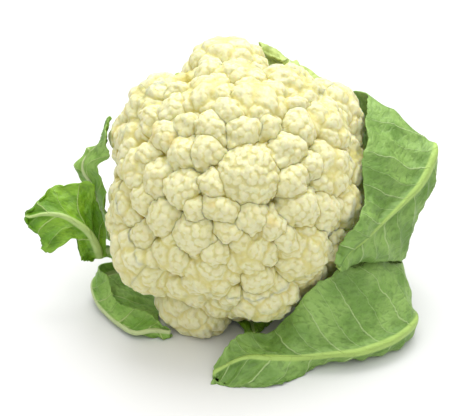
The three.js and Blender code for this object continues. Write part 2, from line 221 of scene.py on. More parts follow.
def make_floret(bearing, off_axis, radius, extra_reach=0.0):
    direction = direction_at(bearing, off_axis)
    centre = direction * (CURD_REACH + extra_reach - FLORET_SINK * radius)
    return {"direction": direction, "centre": centre, "radius": radius, "off_axis": off_axis}


def has_room(floret, placed):
    for other in placed:
        apart = np.linalg.norm(other["direction"] - floret["direction"]) * SPACED_AT
        if apart < FLORET_SPACING * (other["radius"] + floret["radius"]):
            return False
    return True


def place_florets():
    placed = [make_floret(*values) for values in MAIN_FLORETS]
    for size in FLORET_SIZES:
        for i in range(SPIRAL_PLACES):
            rise = 1 - (i / SPIRAL_PLACES) * (1 - math.cos(math.radians(LAST_FLORET)))
            off_axis = math.degrees(math.acos(rise))
            radius = (FLORET_AT_APEX + (FLORET_AT_RIM - FLORET_AT_APEX) * off_axis / 90) * size
            floret = make_floret((i * GOLDEN_ANGLE) % 360, off_axis, radius)
            if has_room(floret, placed):
                placed.append(floret)
    return placed


florets = place_florets()
floret_radii = [floret["radius"] for floret in florets]
print(len(florets), "florets, radius", round(min(floret_radii), 1), "to", max(floret_radii), "mm")


# %% [markdown]
# ## Building node trees in a script
# Geometry and shader trees read best as a few lines of arithmetic. `Tree` adds a node, feeds its inputs in
# order with sockets or plain values, and gives back its first output, so one node can feed the next.

# %% A small helper for node trees
class Tree:
    def __init__(self, tree):
        self.tree = tree

    def node(self, kind, inputs=(), **settings):
        node = self.tree.nodes.new(kind)
        for name, value in settings.items():
            setattr(node, name, value)
        sockets = [socket for socket in node.inputs if socket.enabled]
        entries = inputs.items() if isinstance(inputs, dict) else enumerate(inputs)
        for key, value in entries:
            self.feed(sockets[key] if isinstance(key, int) else node.inputs[key], value)
        return node

    def feed(self, socket, value):
        if isinstance(value, bpy.types.NodeSocket):
            self.tree.links.new(value, socket)
        elif value is not None:
            socket.default_value = value

    def add(self, kind, inputs=(), **settings):
        node = self.node(kind, inputs, **settings)
        return next(socket for socket in node.outputs if socket.enabled)

    def math(self, operation, *inputs):
        return self.add("ShaderNodeMath", inputs, operation=operation)

    def times(self, first, second):
        return self.math("MULTIPLY", first, second)

    def minus(self, first, second):
        return self.math("SUBTRACT", first, second)

    def over(self, first, second):
        return self.math("DIVIDE", first, second)

    def vector(self, operation, *inputs):
        return self.add("ShaderNodeVectorMath", inputs, operation=operation)

    def scaled(self, vector, factor):
        return self.add("ShaderNodeVectorMath", {"Vector": vector, "Scale": factor}, operation="SCALE")

    def combine(self, x, y, z):
        return self.add("ShaderNodeCombineXYZ", (x, y, z))

    def split(self, vector):
        return self.node("ShaderNodeSeparateXYZ", (vector,)).outputs

    def noise(self, place, scale, detail, **more):
        inputs = {"Vector": place, "Scale": scale, "Detail": detail, **more}
        return self.node("ShaderNodeTexNoise", inputs).outputs["Fac"]

    def cells(self, place, size, feature="F1"):
        inputs = {"Vector": place, "Scale": self.over(1.0, size)}
        return self.node("ShaderNodeTexVoronoi", inputs, feature=feature).outputs["Distance"]


def new_group(kind, name, inputs, outputs):
    """An empty node tree whose sockets are given as names with their kinds."""
    tree = bpy.data.node_groups.new(name, kind)
    for in_out, sockets in (("INPUT", inputs), ("OUTPUT", outputs)):
        for socket, socket_kind in sockets.items():
            tree.interface.new_socket(socket, in_out=in_out, socket_type=f"NodeSocket{socket_kind}")
    given = tree.nodes.new("NodeGroupInput").outputs
    wanted = tree.nodes.new("NodeGroupOutput").inputs
    return Tree(tree), given, wanted


print("a tree can", ", ".join(name for name in vars(Tree) if not name.startswith("_")))

# %% [markdown]
# ## The curd's skin, a floret at a time
# Seen from the curd's middle, every direction meets the skin once: at the furthest dome over it. A large
# floret is itself a cluster of clumps, set round it in the same golden-angle spiral. The domes fall away
# ever more steeply, so that neighbours press together and leave no gap, and a seeded noise kneads them out
# of true. Below the rim the domes give way to the fluted stems that carry them back to the stalk.

# %% Domes, and clumps on the large ones
DOMES_SEED = 17
CLUMPED_FROM = 12.0
CLUMP_RADIUS = 9.4
CLUMP_SIZES = (0.82, 1.18)
CLUMP_SHAKE = (0.3, 0.7)
CLUMP_ROOM = 26.0
CLUMP_COVER = 1.05
CLUMP_STANDS = 1.9
LAST_BROAD = 20.0
DOME_ROUND = 0.32
DOME_DROP = 0.13
# Each kind of dome by the radius it starts at, and how many lumps it carries.
KINDS = {"small": (0, 16), "fine": (6.5, 26), "middling": (8.5, 40), "coarse": (11, 60), "broad": (18, 300)}
DOME_OF_LUMPS = math.radians(112)
LUMP_SPREAD = 0.66


def kind_of(dome):
    return [kind for kind, (start, count) in KINDS.items() if dome["radius"] >= start][-1]


def lump_radius(dome):
    """Lumps share the dome evenly, and each reaches a little under its neighbours."""
    share = math.tau * (1 - math.cos(DOME_OF_LUMPS)) / KINDS[kind_of(dome)][1]
    return LUMP_SPREAD * dome["radius"] * math.sqrt(share)


def top_of(dome):
    return np.linalg.norm(dome["centre"]) + dome["radius"]


def reach_over(dome, directions):
    """How far the dome reaches in each direction. It is round on top and falls away ever more steeply."""
    top = top_of(dome)
    off_top = (np.linalg.norm(directions - dome["direction"], axis=-1) * top / dome["radius"]) ** 2
    return top - dome["radius"] * (DOME_ROUND * off_top + DOME_DROP * off_top**2)


def clumps_on(floret, draw):
    """The floret as clumps in a spiral over it, and a lower dome that fills between them."""
    aside = unit(np.cross(floret["direction"], ACROSS))
    above = np.cross(aside, floret["direction"])
    count = round(floret["radius"] ** 2 / CLUMP_ROOM)
    first_turn = draw.uniform(0, math.tau)
    domes = [{**floret, "centre": floret["centre"] - floret["direction"] * CLUMP_STANDS}]
    for i in range(count):
        out = CLUMP_COVER * floret["radius"] * math.sqrt((i + draw.uniform(*CLUMP_SHAKE)) / count)
        turn = first_turn + i * math.radians(GOLDEN_ANGLE)
        shift = out * (math.cos(turn) * aside + math.sin(turn) * above)
        direction = unit(top_of(floret) * floret["direction"] + shift)
        radius = CLUMP_RADIUS * draw.uniform(*CLUMP_SIZES)
        centre = direction * (reach_over(floret, direction) - radius)
        domes.append({"direction": direction, "centre": centre, "radius": radius})
    return domes


def all_domes():
    draw = np.random.default_rng(DOMES_SEED)
    domes = []
    for floret in florets:
        broad = kind_of(floret) == "broad" and floret["off_axis"] < LAST_BROAD
        domes += [floret] if broad or floret["radius"] < CLUMPED_FROM else clumps_on(floret, draw)
    return domes


domes = all_domes()
print("domes of each kind", {kind: sum(kind_of(dome) == kind for dome in domes) for kind in KINDS})

# %% [markdown]
# ## From domes to one skin
# The skin could be joined from whole domes, but then half of each would lie hidden inside its neighbours.
# Worked out as one reach for each direction it has no inside. Each place also learns which dome it is on and
# how near the next two domes come, which the lumps and the finish need.

# %% Reach of the skin in any direction
# Each slow noise by its strength, its wave length in millimetres and its seed.
KNEADED = (0.03, 20.0, 7)
RUFFLED = (0.012, 7.0, 8)
UNEVEN = (0.5, 9.0, 3)
WAVES = 5
WAVE_SPREAD = 1.7
WAVE_GAIN = 1.6
CREASE_FILLET = 2.0
STEM_FLUTES = 12
FLUTE_DEPTH = 0.05
FLUTES_BEGIN = (92, 110)
# Off the axis in degrees and reach in millimetres of what lies beneath the florets.
BED = [(0, 58), (80, 62), (96.4, 70), (106, 68.7), (119, 63.1), (135, 59.4), (149.5, 59.2), (159.1, 61.7)]
BED_DEPTH = 12.0
# Near a crease lumps flatten and stand straight out from the curd's middle, so that they never collide.
LUMPS_CLEAR = 3.0
LUMPS_AT_CREASE = 0.3


def slow_noise(points, strength, wave_length, seed):
    """Three smooth random numbers at each point, each about as large as the strength either way."""
    draw = np.random.default_rng(seed)
    waves = draw.normal(0, math.tau / wave_length / WAVE_SPREAD, (3, WAVES, 3))
    phases = draw.uniform(0, math.tau, (3, WAVES))
    sines = [np.sin(points @ waves[i].T + phases[i]).mean(axis=1) * WAVE_GAIN for i in range(3)]
    return strength * np.stack(sines, axis=1)


def one_noise(points, *noise):
    """The first of those numbers, on points in any arrangement."""
    return slow_noise(points.reshape(-1, 3), *noise)[:, 0].reshape(points.shape[:-1])


def bed_reach(directions):
    off_axis = np.degrees(np.arccos(np.clip(directions @ AXIS, -1, 1)))
    bearing = np.arctan2(directions @ UPWARD, directions @ ACROSS)
    ridge = np.abs(np.cos(0.5 * STEM_FLUTES * bearing))
    flute = FLUTE_DEPTH * (1 - ridge) * smoothstep(off_axis, *FLUTES_BEGIN)
    return np.interp(off_axis, *zip(*BED)) * (1 - flute)


def skin_over(directions):
    """Reach of the skin for unit directions, and what the finish needs to know about each place."""
    places = directions * CURD_REACH
    leaning = unit(directions + (slow_noise(places, *KNEADED) + slow_noise(places, *RUFFLED)))
    first = bed_reach(leaning)
    second = np.zeros(len(leaning))
    third = np.zeros(len(leaning))
    owner = np.full(len(leaning), -1)
    for number, dome in enumerate(domes):
        reach = reach_over(dome, leaning)
        third = np.maximum(third, np.minimum(second, reach))
        second = np.maximum(second, np.minimum(first, reach))
        owner = np.where(reach > first, number, owner)
        first = np.maximum(first, reach)
    blend = np.maximum(CREASE_FILLET - (first - second), 0)
    uneven = one_noise(places, *UNEVEN) - UNEVEN[0]
    reach = first + blend**2 / (4 * CREASE_FILLET) - 0.25 * CREASE_FILLET + uneven
    # The bed has no dome of its own, so number -1 reads the row of zeros at the end.
    radii = np.array([dome["radius"] for dome in domes] + [0.0])
    centres = np.array([dome["centre"] for dome in domes] + [np.zeros(3)])
    lumps = np.array([lump_radius(dome) for dome in domes] + [0.0])
    away = unit(directions * reach[:, None] - centres[owner])
    clear = smoothstep(first - second, 0, LUMPS_CLEAR)[:, None]
    upright = unit(directions + clear * (away - directions))
    return {
        "reach": reach,
        "away": (LUMPS_AT_CREASE + (1 - LUMPS_AT_CREASE) * clear) * upright,
        "home": centres[owner] + away * radii[owner, None],
        "lump": lumps[owner],
        "floret": (owner >= 0).astype(float),
        "beside": first - second,
        "corner": first - third,
        "depth": np.where(owner >= 0, np.maximum(CURD_REACH - first, 0), BED_DEPTH),
    }


tips = skin_over(np.array([floret["direction"] for floret in florets]))["reach"]
print("reach over the florets", tips.min().round(1), "to", tips.max().round(1), "mm")

# %% [markdown]
# ## Patches of skin
# The skin is split into a round cap that faces forward and four sides, each a closed body whose walls meet
# at the curd's middle. Rings of evenly spaced places keep the triangles alike in size, and neighbouring
# patches share the places along their border, so no seam shows.

# %% Rings, patches and what is stored on them
CAP_ANGLE = 58.0
FLORETS_END = 119.0
STEMS_END = 159.1
CAP_RINGS = 160
SIDE_ROWS = 160
STEM_ROWS = 40
SIDE_TURN = 90
SIDES = {"right": -45, "top": 45, "left": 135, "bottom": 225}
# How wide the painted shade in creases and corners reaches, and the depths where shade in deep clefts and
# corners sets in.
CREASE_WIDTH = 2.2
CORNER_WIDTH = 4.5
DEEP = (3.0, 8.0)
# Spots where the curd has yellowed: bearing, degrees off the axis and size.
YELLOWED = [(169, 14, 5), (-125, 16, 4), (-54, 25, 5), (153, 29, 7), (153, 41, 9)]


def between_rings(inner, outer):
    """Triangles between two closed rings of points, given as lists of their numbers."""
    faces = []
    i = 0
    j = 0
    while i < len(inner) or j < len(outer):
        a, b = inner[i % len(inner)], outer[j % len(outer)]
        if j < len(outer) and (i == len(inner) or (j + 1) * len(inner) <= (i + 1) * len(outer)):
            faces.append((a, b, outer[(j + 1) % len(outer)]))
            j += 1
        else:
            faces.append((a, b, inner[(i + 1) % len(inner)]))
            i += 1
    return faces


def cap_patch():
    """Directions on the round cap, the faces between them and the border's numbers in order."""
    rings = [direction_at(np.zeros(1), 0)]
    faces = []
    start = 0
    for ring in range(1, CAP_RINGS + 1):
        count = 6 * ring
        rings.append(direction_at(np.arange(count) * 360 / count, CAP_ANGLE * ring / CAP_RINGS))
        before = list(range(start, start + len(rings[-2])))
        start += len(rings[-2])
        around = list(range(start, start + count))
        faces += between_rings(before, around) if ring > 1 else [(0, i, i % count + 1) for i in around]
    return np.vstack(rings), faces, around


def side_patch(first_bearing):
    """The same for one side, from the cap's border back to the stalk."""
    columns = 6 * CAP_RINGS * SIDE_TURN // 360
    bearings = first_bearing + np.arange(columns + 1) * SIDE_TURN / columns
    tilts = [
        *np.linspace(CAP_ANGLE, FLORETS_END, SIDE_ROWS + 1),
        *np.linspace(FLORETS_END, STEMS_END, STEM_ROWS + 1)[1:],
    ]
    places = np.vstack([direction_at(bearings, tilt) for tilt in tilts])
    number = np.arange(len(places)).reshape(len(tilts), columns + 1)
    faces = quads(number[:-1, :-1], number[1:, :-1], number[1:, 1:], number[:-1, 1:])
    border = [*number[0, ::-1], *number[1:, 0], *number[-1, 1:], *number[-2:0:-1, -1]]
    return places, faces, [int(i) for i in border]


def quads(*corners):
    return np.stack(corners, axis=-1).reshape(-1, 4).tolist()


def yellowed(points):
    """1 in the few spots where the curd has yellowed, and 0 away from them."""
    yellow = np.zeros(len(points))
    for bearing, off_axis, size in YELLOWED:
        apart = np.linalg.norm(points - direction_at(bearing, off_axis) * CURD_REACH, axis=1)
        yellow = np.maximum(yellow, 1 - smoothstep(apart, 0.3 * size, size))
    return yellow


def patch_mesh(name, directions, faces, border):
    """One closed body: the patch of skin, and a flat wall from its border to the curd's middle."""
    skin = skin_over(directions)
    points = directions * skin["reach"][:, None]
    walls = [(border[i], border[i - 1], len(points)) for i in range(len(border))]
    mesh = make_mesh(name, np.vstack([points, np.zeros(3)]) + CURD_CENTRE, faces + walls)
    mesh.polygons.foreach_set("use_smooth", [True] * len(faces) + [False] * len(walls))
    # The masks for creases, clefts and corners say where the finish paints shade between florets.
    deep = smoothstep(skin["depth"], *DEEP)
    crease = 1 - smoothstep(skin["beside"], 0, CREASE_WIDTH)
    marks = {
        "away": skin["away"],
        "home": in_frame(skin["home"] + CURD_CENTRE),
        "lump": skin["lump"] * MM,
        "crease": crease,
        "cleft": crease * deep,
        "corner": (1 - smoothstep(skin["corner"], 0, CORNER_WIDTH)) * deep,
        "floret": skin["floret"],
        "yellow": yellowed(points),
    }
    for mark, values in marks.items():
        store(mesh, mark, np.concatenate([values, np.zeros((1, *values.shape[1:]))]))
    return mesh


patches = {"front": cap_patch(), **{side: side_patch(bearing) for side, bearing in SIDES.items()}}
print("places on each patch", {name: len(patch[0]) for name, patch in patches.items()})

# %% [markdown]
# ## Lumps, by rule
# A floret's dome is covered in rounded lumps that stand in the same golden-angle spiral as the florets do.
# Geometry Nodes set a dome of spiral points on every floret, with more points on a larger one, and then
# push each place of the skin out by how near it is to its closest lump. A cell pattern adds beads, finer
# still. What lies low between lumps and beads is stored for the finish, which paints shade there.

# %% Nodes that place the lumps
def spiral_on_dome(build, count, cover, jitter, seed):
    """Points on a unit dome that reaches down to cover, an angle in radians from its pole."""
    points = build.add("GeometryNodePoints", (count,))
    index = build.add("GeometryNodeInputIndex")
    share = build.over(build.math("ADD", index, 0.5), count)
    fall = build.minus(1.0, build.math("COSINE", cover))
    height = build.minus(1.0, build.times(share, fall))
    out = build.math("SQRT", build.minus(1.0, build.times(height, height)))
    turn = build.times(index, math.radians(GOLDEN_ANGLE))
    x = build.times(out, build.math("COSINE", turn))
    y = build.times(out, build.math("SINE", turn))
    limits = {"Min": (-1, -1, -1), "Max": (1, 1, 1), "Seed": seed}
    shake = build.add("FunctionNodeRandomValue", limits, data_type="FLOAT_VECTOR")
    place = build.vector("ADD", build.combine(x, y, height), build.scaled(shake, jitter))
    return build.add("GeometryNodeSetPosition", (points, None, build.vector("NORMALIZE", place)))


def standing(build, outward, seed):
    """A rotation that stands an instance up along outward, with a random turn about its own axis."""
    upright = build.add("FunctionNodeAlignRotationToVector", {"Vector": outward}, axis="Z")
    turn = build.add("FunctionNodeRandomValue", (0.0, math.tau, None, seed), data_type="FLOAT")
    turned = build.add("FunctionNodeEulerToRotation", (build.combine(0.0, 0.0, turn),))
    return build.add("FunctionNodeRotateRotation", (upright, turned), rotation_space="LOCAL")


def stored(build, name, data_type="FLOAT"):
    return build.add("GeometryNodeInputNamedAttribute", {"Name": name}, data_type=data_type)


def lump_points(build, given):
    """Every lump's place: a dome of spiral points on each floret, as many as its kind has."""
    middles = build.node("GeometryNodeObjectInfo", {"Object": given["Florets"]}).outputs["Geometry"]
    join = build.node("GeometryNodeJoinGeometry")
    for number, kind in enumerate(KINDS):
        count = given[f"Lumps on {kind}"]
        settings = {
            "Points": middles,
            "Selection": build.math("COMPARE", stored(build, "kind"), float(number), 0.5),
            "Instance": spiral_on_dome(build, count, DOME_OF_LUMPS, given["Jitter"], given["Seed"]),
            "Rotation": standing(build, stored(build, "outward", "FLOAT_VECTOR"), given["Seed"]),
            "Scale": stored(build, "size"),
        }
        build.feed(join.inputs[0], build.add("GeometryNodeInstanceOnPoints", settings))
    return build.add("GeometryNodeRealizeInstances", (join.outputs[0],))


lump_nodes = (spiral_on_dome, standing, stored, lump_points)
print("helpers:", ", ".join(helper.__name__ for helper in lump_nodes))

# %% [markdown]
# ## The whole lump tree
# Every setting is an input with a name, so the tree can be read and tuned without opening it. It ends as one
# realised mesh with its material set.

# %% The lump tree
LUMP_SETTINGS = {
    **{f"Lumps on {kind}": count for kind, (start, count) in KINDS.items()},
    "Lump height": 0.34,
    "Bead size": 2.4 * MM,
    "Bead height": 0.27 * MM,
    "Jitter": 0.08,
    "Seed": 11,
}
BEAD_SPREAD = 1.15


def rounded(build, distance):
    """1 at distance 0 and 0 at distance 1, as round as a dome."""
    under = build.minus(1.0, build.times(distance, distance))
    return build.math("SQRT", build.math("MAXIMUM", under, 0.0))


def lumps_tree():
    kinds = {name: "Int" if isinstance(value, int) else "Float" for name, value in LUMP_SETTINGS.items()}
    inputs = {"Skin": "Geometry", "Florets": "Object", **kinds, "Material": "Material"}
    build, given, wanted = new_group("GeometryNodeTree", "Lumps by rule", inputs, {"Curd": "Geometry"})
    lumps = lump_points(build, given)
    here = build.add("GeometryNodeInputPosition")
    home = stored(build, "home", "FLOAT_VECTOR")
    wanting = {"Geometry": lumps, "Sample Position": home}
    nearest = build.add("GeometryNodeSampleNearest", wanting, domain="POINT")
    reading = {"Geometry": lumps, "Value": here, "Index": nearest}
    top = build.add("GeometryNodeSampleIndex", reading, data_type="FLOAT_VECTOR", domain="POINT")
    size = stored(build, "lump")
    apart = build.vector("DISTANCE", home, top)
    lump = rounded(build, build.over(apart, build.math("MAXIMUM", size, 1e-5)))
    bead = rounded(build, build.times(build.cells(here, given["Bead size"]), BEAD_SPREAD))
    raised = build.times(build.times(lump, size), given["Lump height"])
    beaded = build.times(build.times(bead, given["Bead height"]), stored(build, "floret"))
    push = build.scaled(stored(build, "away", "FLOAT_VECTOR"), build.math("ADD", raised, beaded))
    skin = given["Skin"]
    # How low each place lies among lumps and among beads: the finish paints shade into these hollows.
    for name, height in (("low", lump), ("pitted", bead)):
        keeping = {"Geometry": skin, "Name": name, "Value": build.minus(1.0, height)}
        skin = build.add("GeometryNodeStoreNamedAttribute", keeping, data_type="FLOAT", domain="POINT")
    moved = build.add("GeometryNodeSetPosition", (skin, None, None, push))
    whole = build.add("GeometryNodeRealizeInstances", (moved,))
    finish = {"Geometry": whole, "Material": given["Material"]}
    build.feed(wanted["Curd"], build.add("GeometryNodeSetMaterial", finish))
    return build.tree


lumps_by_rule = lumps_tree()
print(len(lumps_by_rule.nodes), "nodes in the lump tree")

# %% [markdown]
# ## Fine plant grain
# Curd, stalk and leaves all have a fine grain of cells, and their colour drifts slowly from place to place.
# Both effects could be painted on each piece. Drawn from the place in space they need no unwrapping, and one
# group of nodes serves every plant material: rounded cells for a bump, and a slow mottling for the colour.

# %% Shared effect: fine plant grain
def plant_grain_group():
    """Rounded cells of a given size, in metres, as a height from 0 to 1, and a slow mottling."""
    inputs = {"Cell size": "Float", "Mottle size": "Float"}
    outputs = {"Height": "Float", "Mottle": "Float"}
    build, given, wanted = new_group("ShaderNodeTree", "Plant grain", inputs, outputs)
    where = build.node("ShaderNodeTexCoord").outputs["Object"]
    cells = build.cells(where, given["Cell size"], "SMOOTH_F1")
    build.feed(wanted["Height"], build.minus(1.0, cells))
    build.feed(wanted["Mottle"], build.noise(where, build.over(1.0, given["Mottle size"]), 3.0))
    return build.tree


def new_material(name, roughness):
    material = bpy.data.materials.new(name)
    material.use_nodes = True
    shader = material.node_tree.nodes["Principled BSDF"]
    shader.inputs["Roughness"].default_value = roughness
    return material, Tree(material.node_tree), shader.inputs


def mixed(build, factor, first, second):
    """Two colours mixed. The mix node keeps its colour sockets in places 6 and 7, and its result in 2."""
    node = build.node("ShaderNodeMix", data_type="RGBA")
    for place, value in ((0, factor), (6, first), (7, second)):
        build.feed(node.inputs[place], value)
    return node.outputs[2]


def grain_of(build, cell_size, mottle_size=0.01):
    sizes = {"Cell size": cell_size, "Mottle size": mottle_size}
    grain = build.node("ShaderNodeGroup", sizes, node_tree=plant_grain).outputs
    return grain["Height"], grain["Mottle"]


def bump(build, height, strength, distance):
    inputs = {"Strength": strength, "Distance": distance, "Height": height}
    return build.add("ShaderNodeBump", inputs)


def kept(build, name, output="Fac"):
    """What a mesh keeps under a name, as one number or as a vector."""
    return build.node("ShaderNodeAttribute", attribute_name=name).outputs[output]


def fading(build, value, full, gone):
    """1 up to full, 0 from gone on, and smooth between."""
    inputs = {"Value": value, "From Min": full, "From Max": gone, "To Min": 1.0, "To Max": 0.0}
    return build.add("ShaderNodeMapRange", inputs, interpolation_type="SMOOTHSTEP")


plant_grain = plant_grain_group()
print("made", plant_grain.name)

# %% [markdown]
# ## Curd finish
# Curd flesh is pale, dense and a little translucent, and it has yellowed in a few spots. Shade is painted,
# darker and yellower, into the creases and the hollows between lumps and beads, from masks worked out from
# the florets themselves and stored on the mesh. Each mark takes the colour some way to a painted shade or a
# tint.

# %% Curd material
# Sizes of the grain's cells and of the mottling, in metres, and the grain's bump: strength and distance.
CURD_GRAIN = (0.0016, 0.03)
CURD_BUMP = (0.6, 0.0005)
CURD_GLOW = {"Weight": 0.75, "Radius": (1.0, 0.8, 0.35), "Scale": 0.003}
CREAM = [(0.77, 0.755, 0.49, 1), (0.73, 0.71, 0.42, 1)]
STEM_TINT = (0.62, 0.66, 0.36, 1)
# Each mark's strength and tint, in the order that they lie over each other. All but the last are painted
# shade:
# in the hollows among lumps and beads, and in the creases, clefts and corners between florets. The last is
# the curd's own yellowing. A mark that says how low a place lies among lumps or beads also has the values
# where it shows in full and where it is gone.
CURD_TINTS_AND_SHADE = {
    "low": (0.6, (0.64, 0.585, 0.19, 1), (0.5, 0.22)),
    "pitted": (0.3, (0.64, 0.59, 0.22, 1), (0.45, 0.15)),
    "crease": (0.6, (0.66, 0.58, 0.13, 1), None),
    "cleft": (0.8, (0.56, 0.45, 0.05, 1), None),
    "corner": (0.7, (0.34, 0.28, 0.03, 1), None),
    "yellow": (0.6, (0.66, 0.54, 0.17, 1), None),
}


def curd_material():
    material, build, shader = new_material("Curd", 0.6)
    cells, mottle = grain_of(build, *CURD_GRAIN)
    colour = mixed(build, mottle, *CREAM)
    # Painted shade darkens the hollows and creases, and the yellowed spots take their own tint.
    for mark, (strength, tint, limits) in CURD_TINTS_AND_SHADE.items():
        mask = kept(build, mark)
        mask = fading(build, mask, *limits) if limits else mask
        colour = mixed(build, build.times(mask, strength), colour, tint)
    build.feed(shader["Base Color"], mixed(build, kept(build, "floret"), STEM_TINT, colour))
    build.feed(shader["Normal"], bump(build, cells, *CURD_BUMP))
    for setting, value in CURD_GLOW.items():
        shader[f"Subsurface {setting}"].default_value = value
    return material


curd_skin = curd_material()
print("made", curd_skin.name)

# %% [markdown]
# ## The curd
# The lump tree runs on each patch in turn. Then the grown patch is held inside the CAD model's box, and
# pressed flat on the surface that the head rests on.

# %% Curd pieces
def dome_points():
    """The domes as bare points that the lump tree stands its domes on."""
    mesh = bpy.data.meshes.new("domes")
    places = in_frame([dome["centre"] + CURD_CENTRE for dome in domes])
    mesh.from_pydata(places.tolist(), [], [])
    store(mesh, "outward", [dome["direction"] for dome in domes])
    store(mesh, "size", [dome["radius"] * MM for dome in domes])
    store(mesh, "kind", [list(KINDS).index(kind_of(dome)) for dome in domes])
    return linked("domes", mesh)


def lumpy(mesh, middles):
    """The patch after the lump tree, as a plain mesh held inside the CAD box."""
    patch = linked(mesh.name, mesh)
    run = patch.modifiers.new("Lumps", "NODES")
    run.node_group = lumps_by_rule
    identifiers = {item.name: item.identifier for item in lumps_by_rule.interface.items_tree}
    settings = {"Florets": middles, "Material": curd_skin, **LUMP_SETTINGS}
    for setting, value in settings.items():
        run[identifiers[setting]] = value
    grown = bpy.data.meshes.new_from_object(patch.evaluated_get(bpy.context.evaluated_depsgraph_get()))
    bpy.data.objects.remove(patch)
    places = np.empty(len(grown.vertices) * 3)
    grown.vertices.foreach_get("co", places)
    grown.vertices.foreach_set("co", held_inside(places.reshape(-1, 3)).ravel())
    grown.update()
    return grown


dome_middles = dome_points()
for part, patch in patches.items():
    add_piece(f"curd_{part}", lumpy(patch_mesh(part, *patch), dome_middles), "curd", curd_skin)
bpy.data.objects.remove(dome_middles)

# %% [markdown]
# ## The stalk
# The stalk is a stout green-white column, cut straight across behind the head. Outside it carries fine
# streaks and the scars of leaves trimmed off. The cut shows a ring of fibre bundles round a softer pith that
# has dried and sunk a little.

# %% Stalk mesh
STALK_COLUMNS = 240
STALK_EDGE = 1.2
FIBRE_RING = 15.5
FIBRE_BUNDLES = 34
BUNDLE_RISE = 0.25
BUNDLE_HALF = 1.3
PITH_SINK = 0.8
CUT_SINK = 0.3
SCAR_DEPTH = 0.6
GROOVES = (0.18, 3.0, 2)
GROOVES_RUN = (0.38, 0.1)
# A scar's height as a share of its width, and its rim's place and half width as shares of the way out.
SCAR_FLAT = 0.45
SCAR_RIM = (0.85, 0.2)
# Marks of bundles in a scar: how deep they are, how far up and out they reach, and how close together.
MARK_DEEP = 0.7
MARK_REACH = (0.35, 0.7)
MARK_TURNS = 9
# Bearing round the stalk, place along it and half width of each leaf scar.
SCARS = [
    (20, -79, 8),
    (88, -74, 7),
    (104, -82, 6),
    (172, -80, 8),
    (252, -82, 7),
    (345, -81, 7),
    (63, -82, 6),
]


def stalk_rings():
    """Radius and place along the axis of each ring, from the top's middle round to the cut's middle."""
    top = [(radius, STALK_TOP) for radius in np.linspace(0, STALK_RADIUS, 8)[1:]]
    side = [(STALK_RADIUS, along) for along in np.linspace(STALK_TOP, STALK_END + STALK_EDGE, 46)[1:]]
    turns = np.linspace(0, math.pi / 2, 6)[1:]
    turned = [(STALK_RADIUS - STALK_EDGE * (1 - math.cos(t)), -math.sin(t) * STALK_EDGE) for t in turns]
    edge = [(radius, STALK_END + STALK_EDGE + down) for radius, down in turned]
    cut = [(radius, STALK_END) for radius in np.linspace(STALK_RADIUS - STALK_EDGE, 0, 40)[1:-1]]
    return np.array(top + side + edge + cut)


def scarred(bearing, along):
    """How far leaf scars sink the side: a crescent groove round each, with a few bundle marks in it."""
    sunk = np.zeros(bearing.shape)
    for scar_bearing, scar_along, half_width in SCARS:
        aside = (bearing - scar_bearing + 180) % 360 - 180
        aside = math.radians(1) * aside * STALK_RADIUS / half_width
        lift = (along - scar_along) / (SCAR_FLAT * half_width)
        rim = np.exp(-(((np.hypot(aside, lift) - SCAR_RIM[0]) / SCAR_RIM[1]) ** 2))
        spots = np.maximum(np.cos(aside * MARK_TURNS), 0) * (np.abs(aside) < MARK_REACH[1])
        marks = np.exp(-((lift / MARK_REACH[0]) ** 2)) * spots
        sunk = np.maximum(sunk, np.maximum(rim, MARK_DEEP * marks))
    return sunk


def tube_faces(rows, around):
    """Faces between closed rings of points, with the points' numbers and those of the next one round."""
    number = np.arange(rows * around).reshape(rows, around)
    after = np.roll(number, -1, axis=1)
    return quads(number[:-1], number[1:], after[1:], after[:-1]), number, after


def stalk_mesh():
    rings = stalk_rings()
    radius = np.broadcast_to(rings[:, :1], (len(rings), STALK_COLUMNS))
    along = np.broadcast_to(rings[:, 1:], radius.shape)
    bearing = np.broadcast_to(np.arange(STALK_COLUMNS) * 360 / STALK_COLUMNS, radius.shape)
    on_side = smoothstep(radius, STALK_RADIUS - 0.2, STALK_RADIUS) * (along < STALK_TOP)
    on_cut = (along <= STALK_END + 0.5 * STALK_EDGE) * 1.0
    scar = scarred(bearing, along) * on_side
    streaked = np.stack([bearing * GROOVES_RUN[0], along * GROOVES_RUN[1], radius * 0], axis=-1)
    sunk = SCAR_DEPTH * scar + on_side * (GROOVES[0] + one_noise(streaked, *GROOVES))
    bundle = np.exp(-(((radius - FIBRE_RING) / BUNDLE_HALF) ** 2))
    bundle = bundle * (0.5 - 0.5 * np.cos(np.radians(bearing) * FIBRE_BUNDLES))
    pith = PITH_SINK * (1 - smoothstep(radius, 4, FIBRE_RING - 1))
    raised = (pith - BUNDLE_RISE * bundle + CUT_SINK) * on_cut * smoothstep(STALK_RADIUS - radius, 0.5, 2.5)
    place = (along + raised)[..., None] * AXIS + (radius - sunk)[..., None] * aside_at(bearing)
    ends = [CURD_CENTRE + place * AXIS for place in (STALK_TOP, STALK_END + PITH_SINK + CUT_SINK)]
    faces, number, after = tube_faces(*radius.shape)
    top, cut = radius.size, radius.size + 1
    faces += [(top, int(i), int(j)) for i, j in zip(number[0], after[0])]
    faces += [(cut, int(j), int(i)) for i, j in zip(number[-1], after[-1])]
    mesh = make_mesh("stalk", np.vstack([(CURD_CENTRE + place).reshape(-1, 3), *ends]), faces)
    rolled = np.stack([np.radians(bearing) * radius, along, radius], axis=-1).reshape(-1, 3)
    store(mesh, "rolled", np.vstack([rolled, np.zeros((2, 3))]))
    store(mesh, "cut", np.append(on_cut.ravel(), [0.0, 1.0]))
    store(mesh, "scar", np.append(scar.ravel(), [0.0, 0.0]))
    return mesh


stalk = stalk_mesh()
print("a stalk with", len(SCARS), "leaf scars")

# %% [markdown]
# ## Stalk finish
# The rind is green with paler streaks along it, and brown where leaves were. The cut shows a green rim, pale
# pith with faint rays and the darker ring of fibres. All of it is drawn from how far round, along and out a
# place lies, which the mesh keeps as one vector.

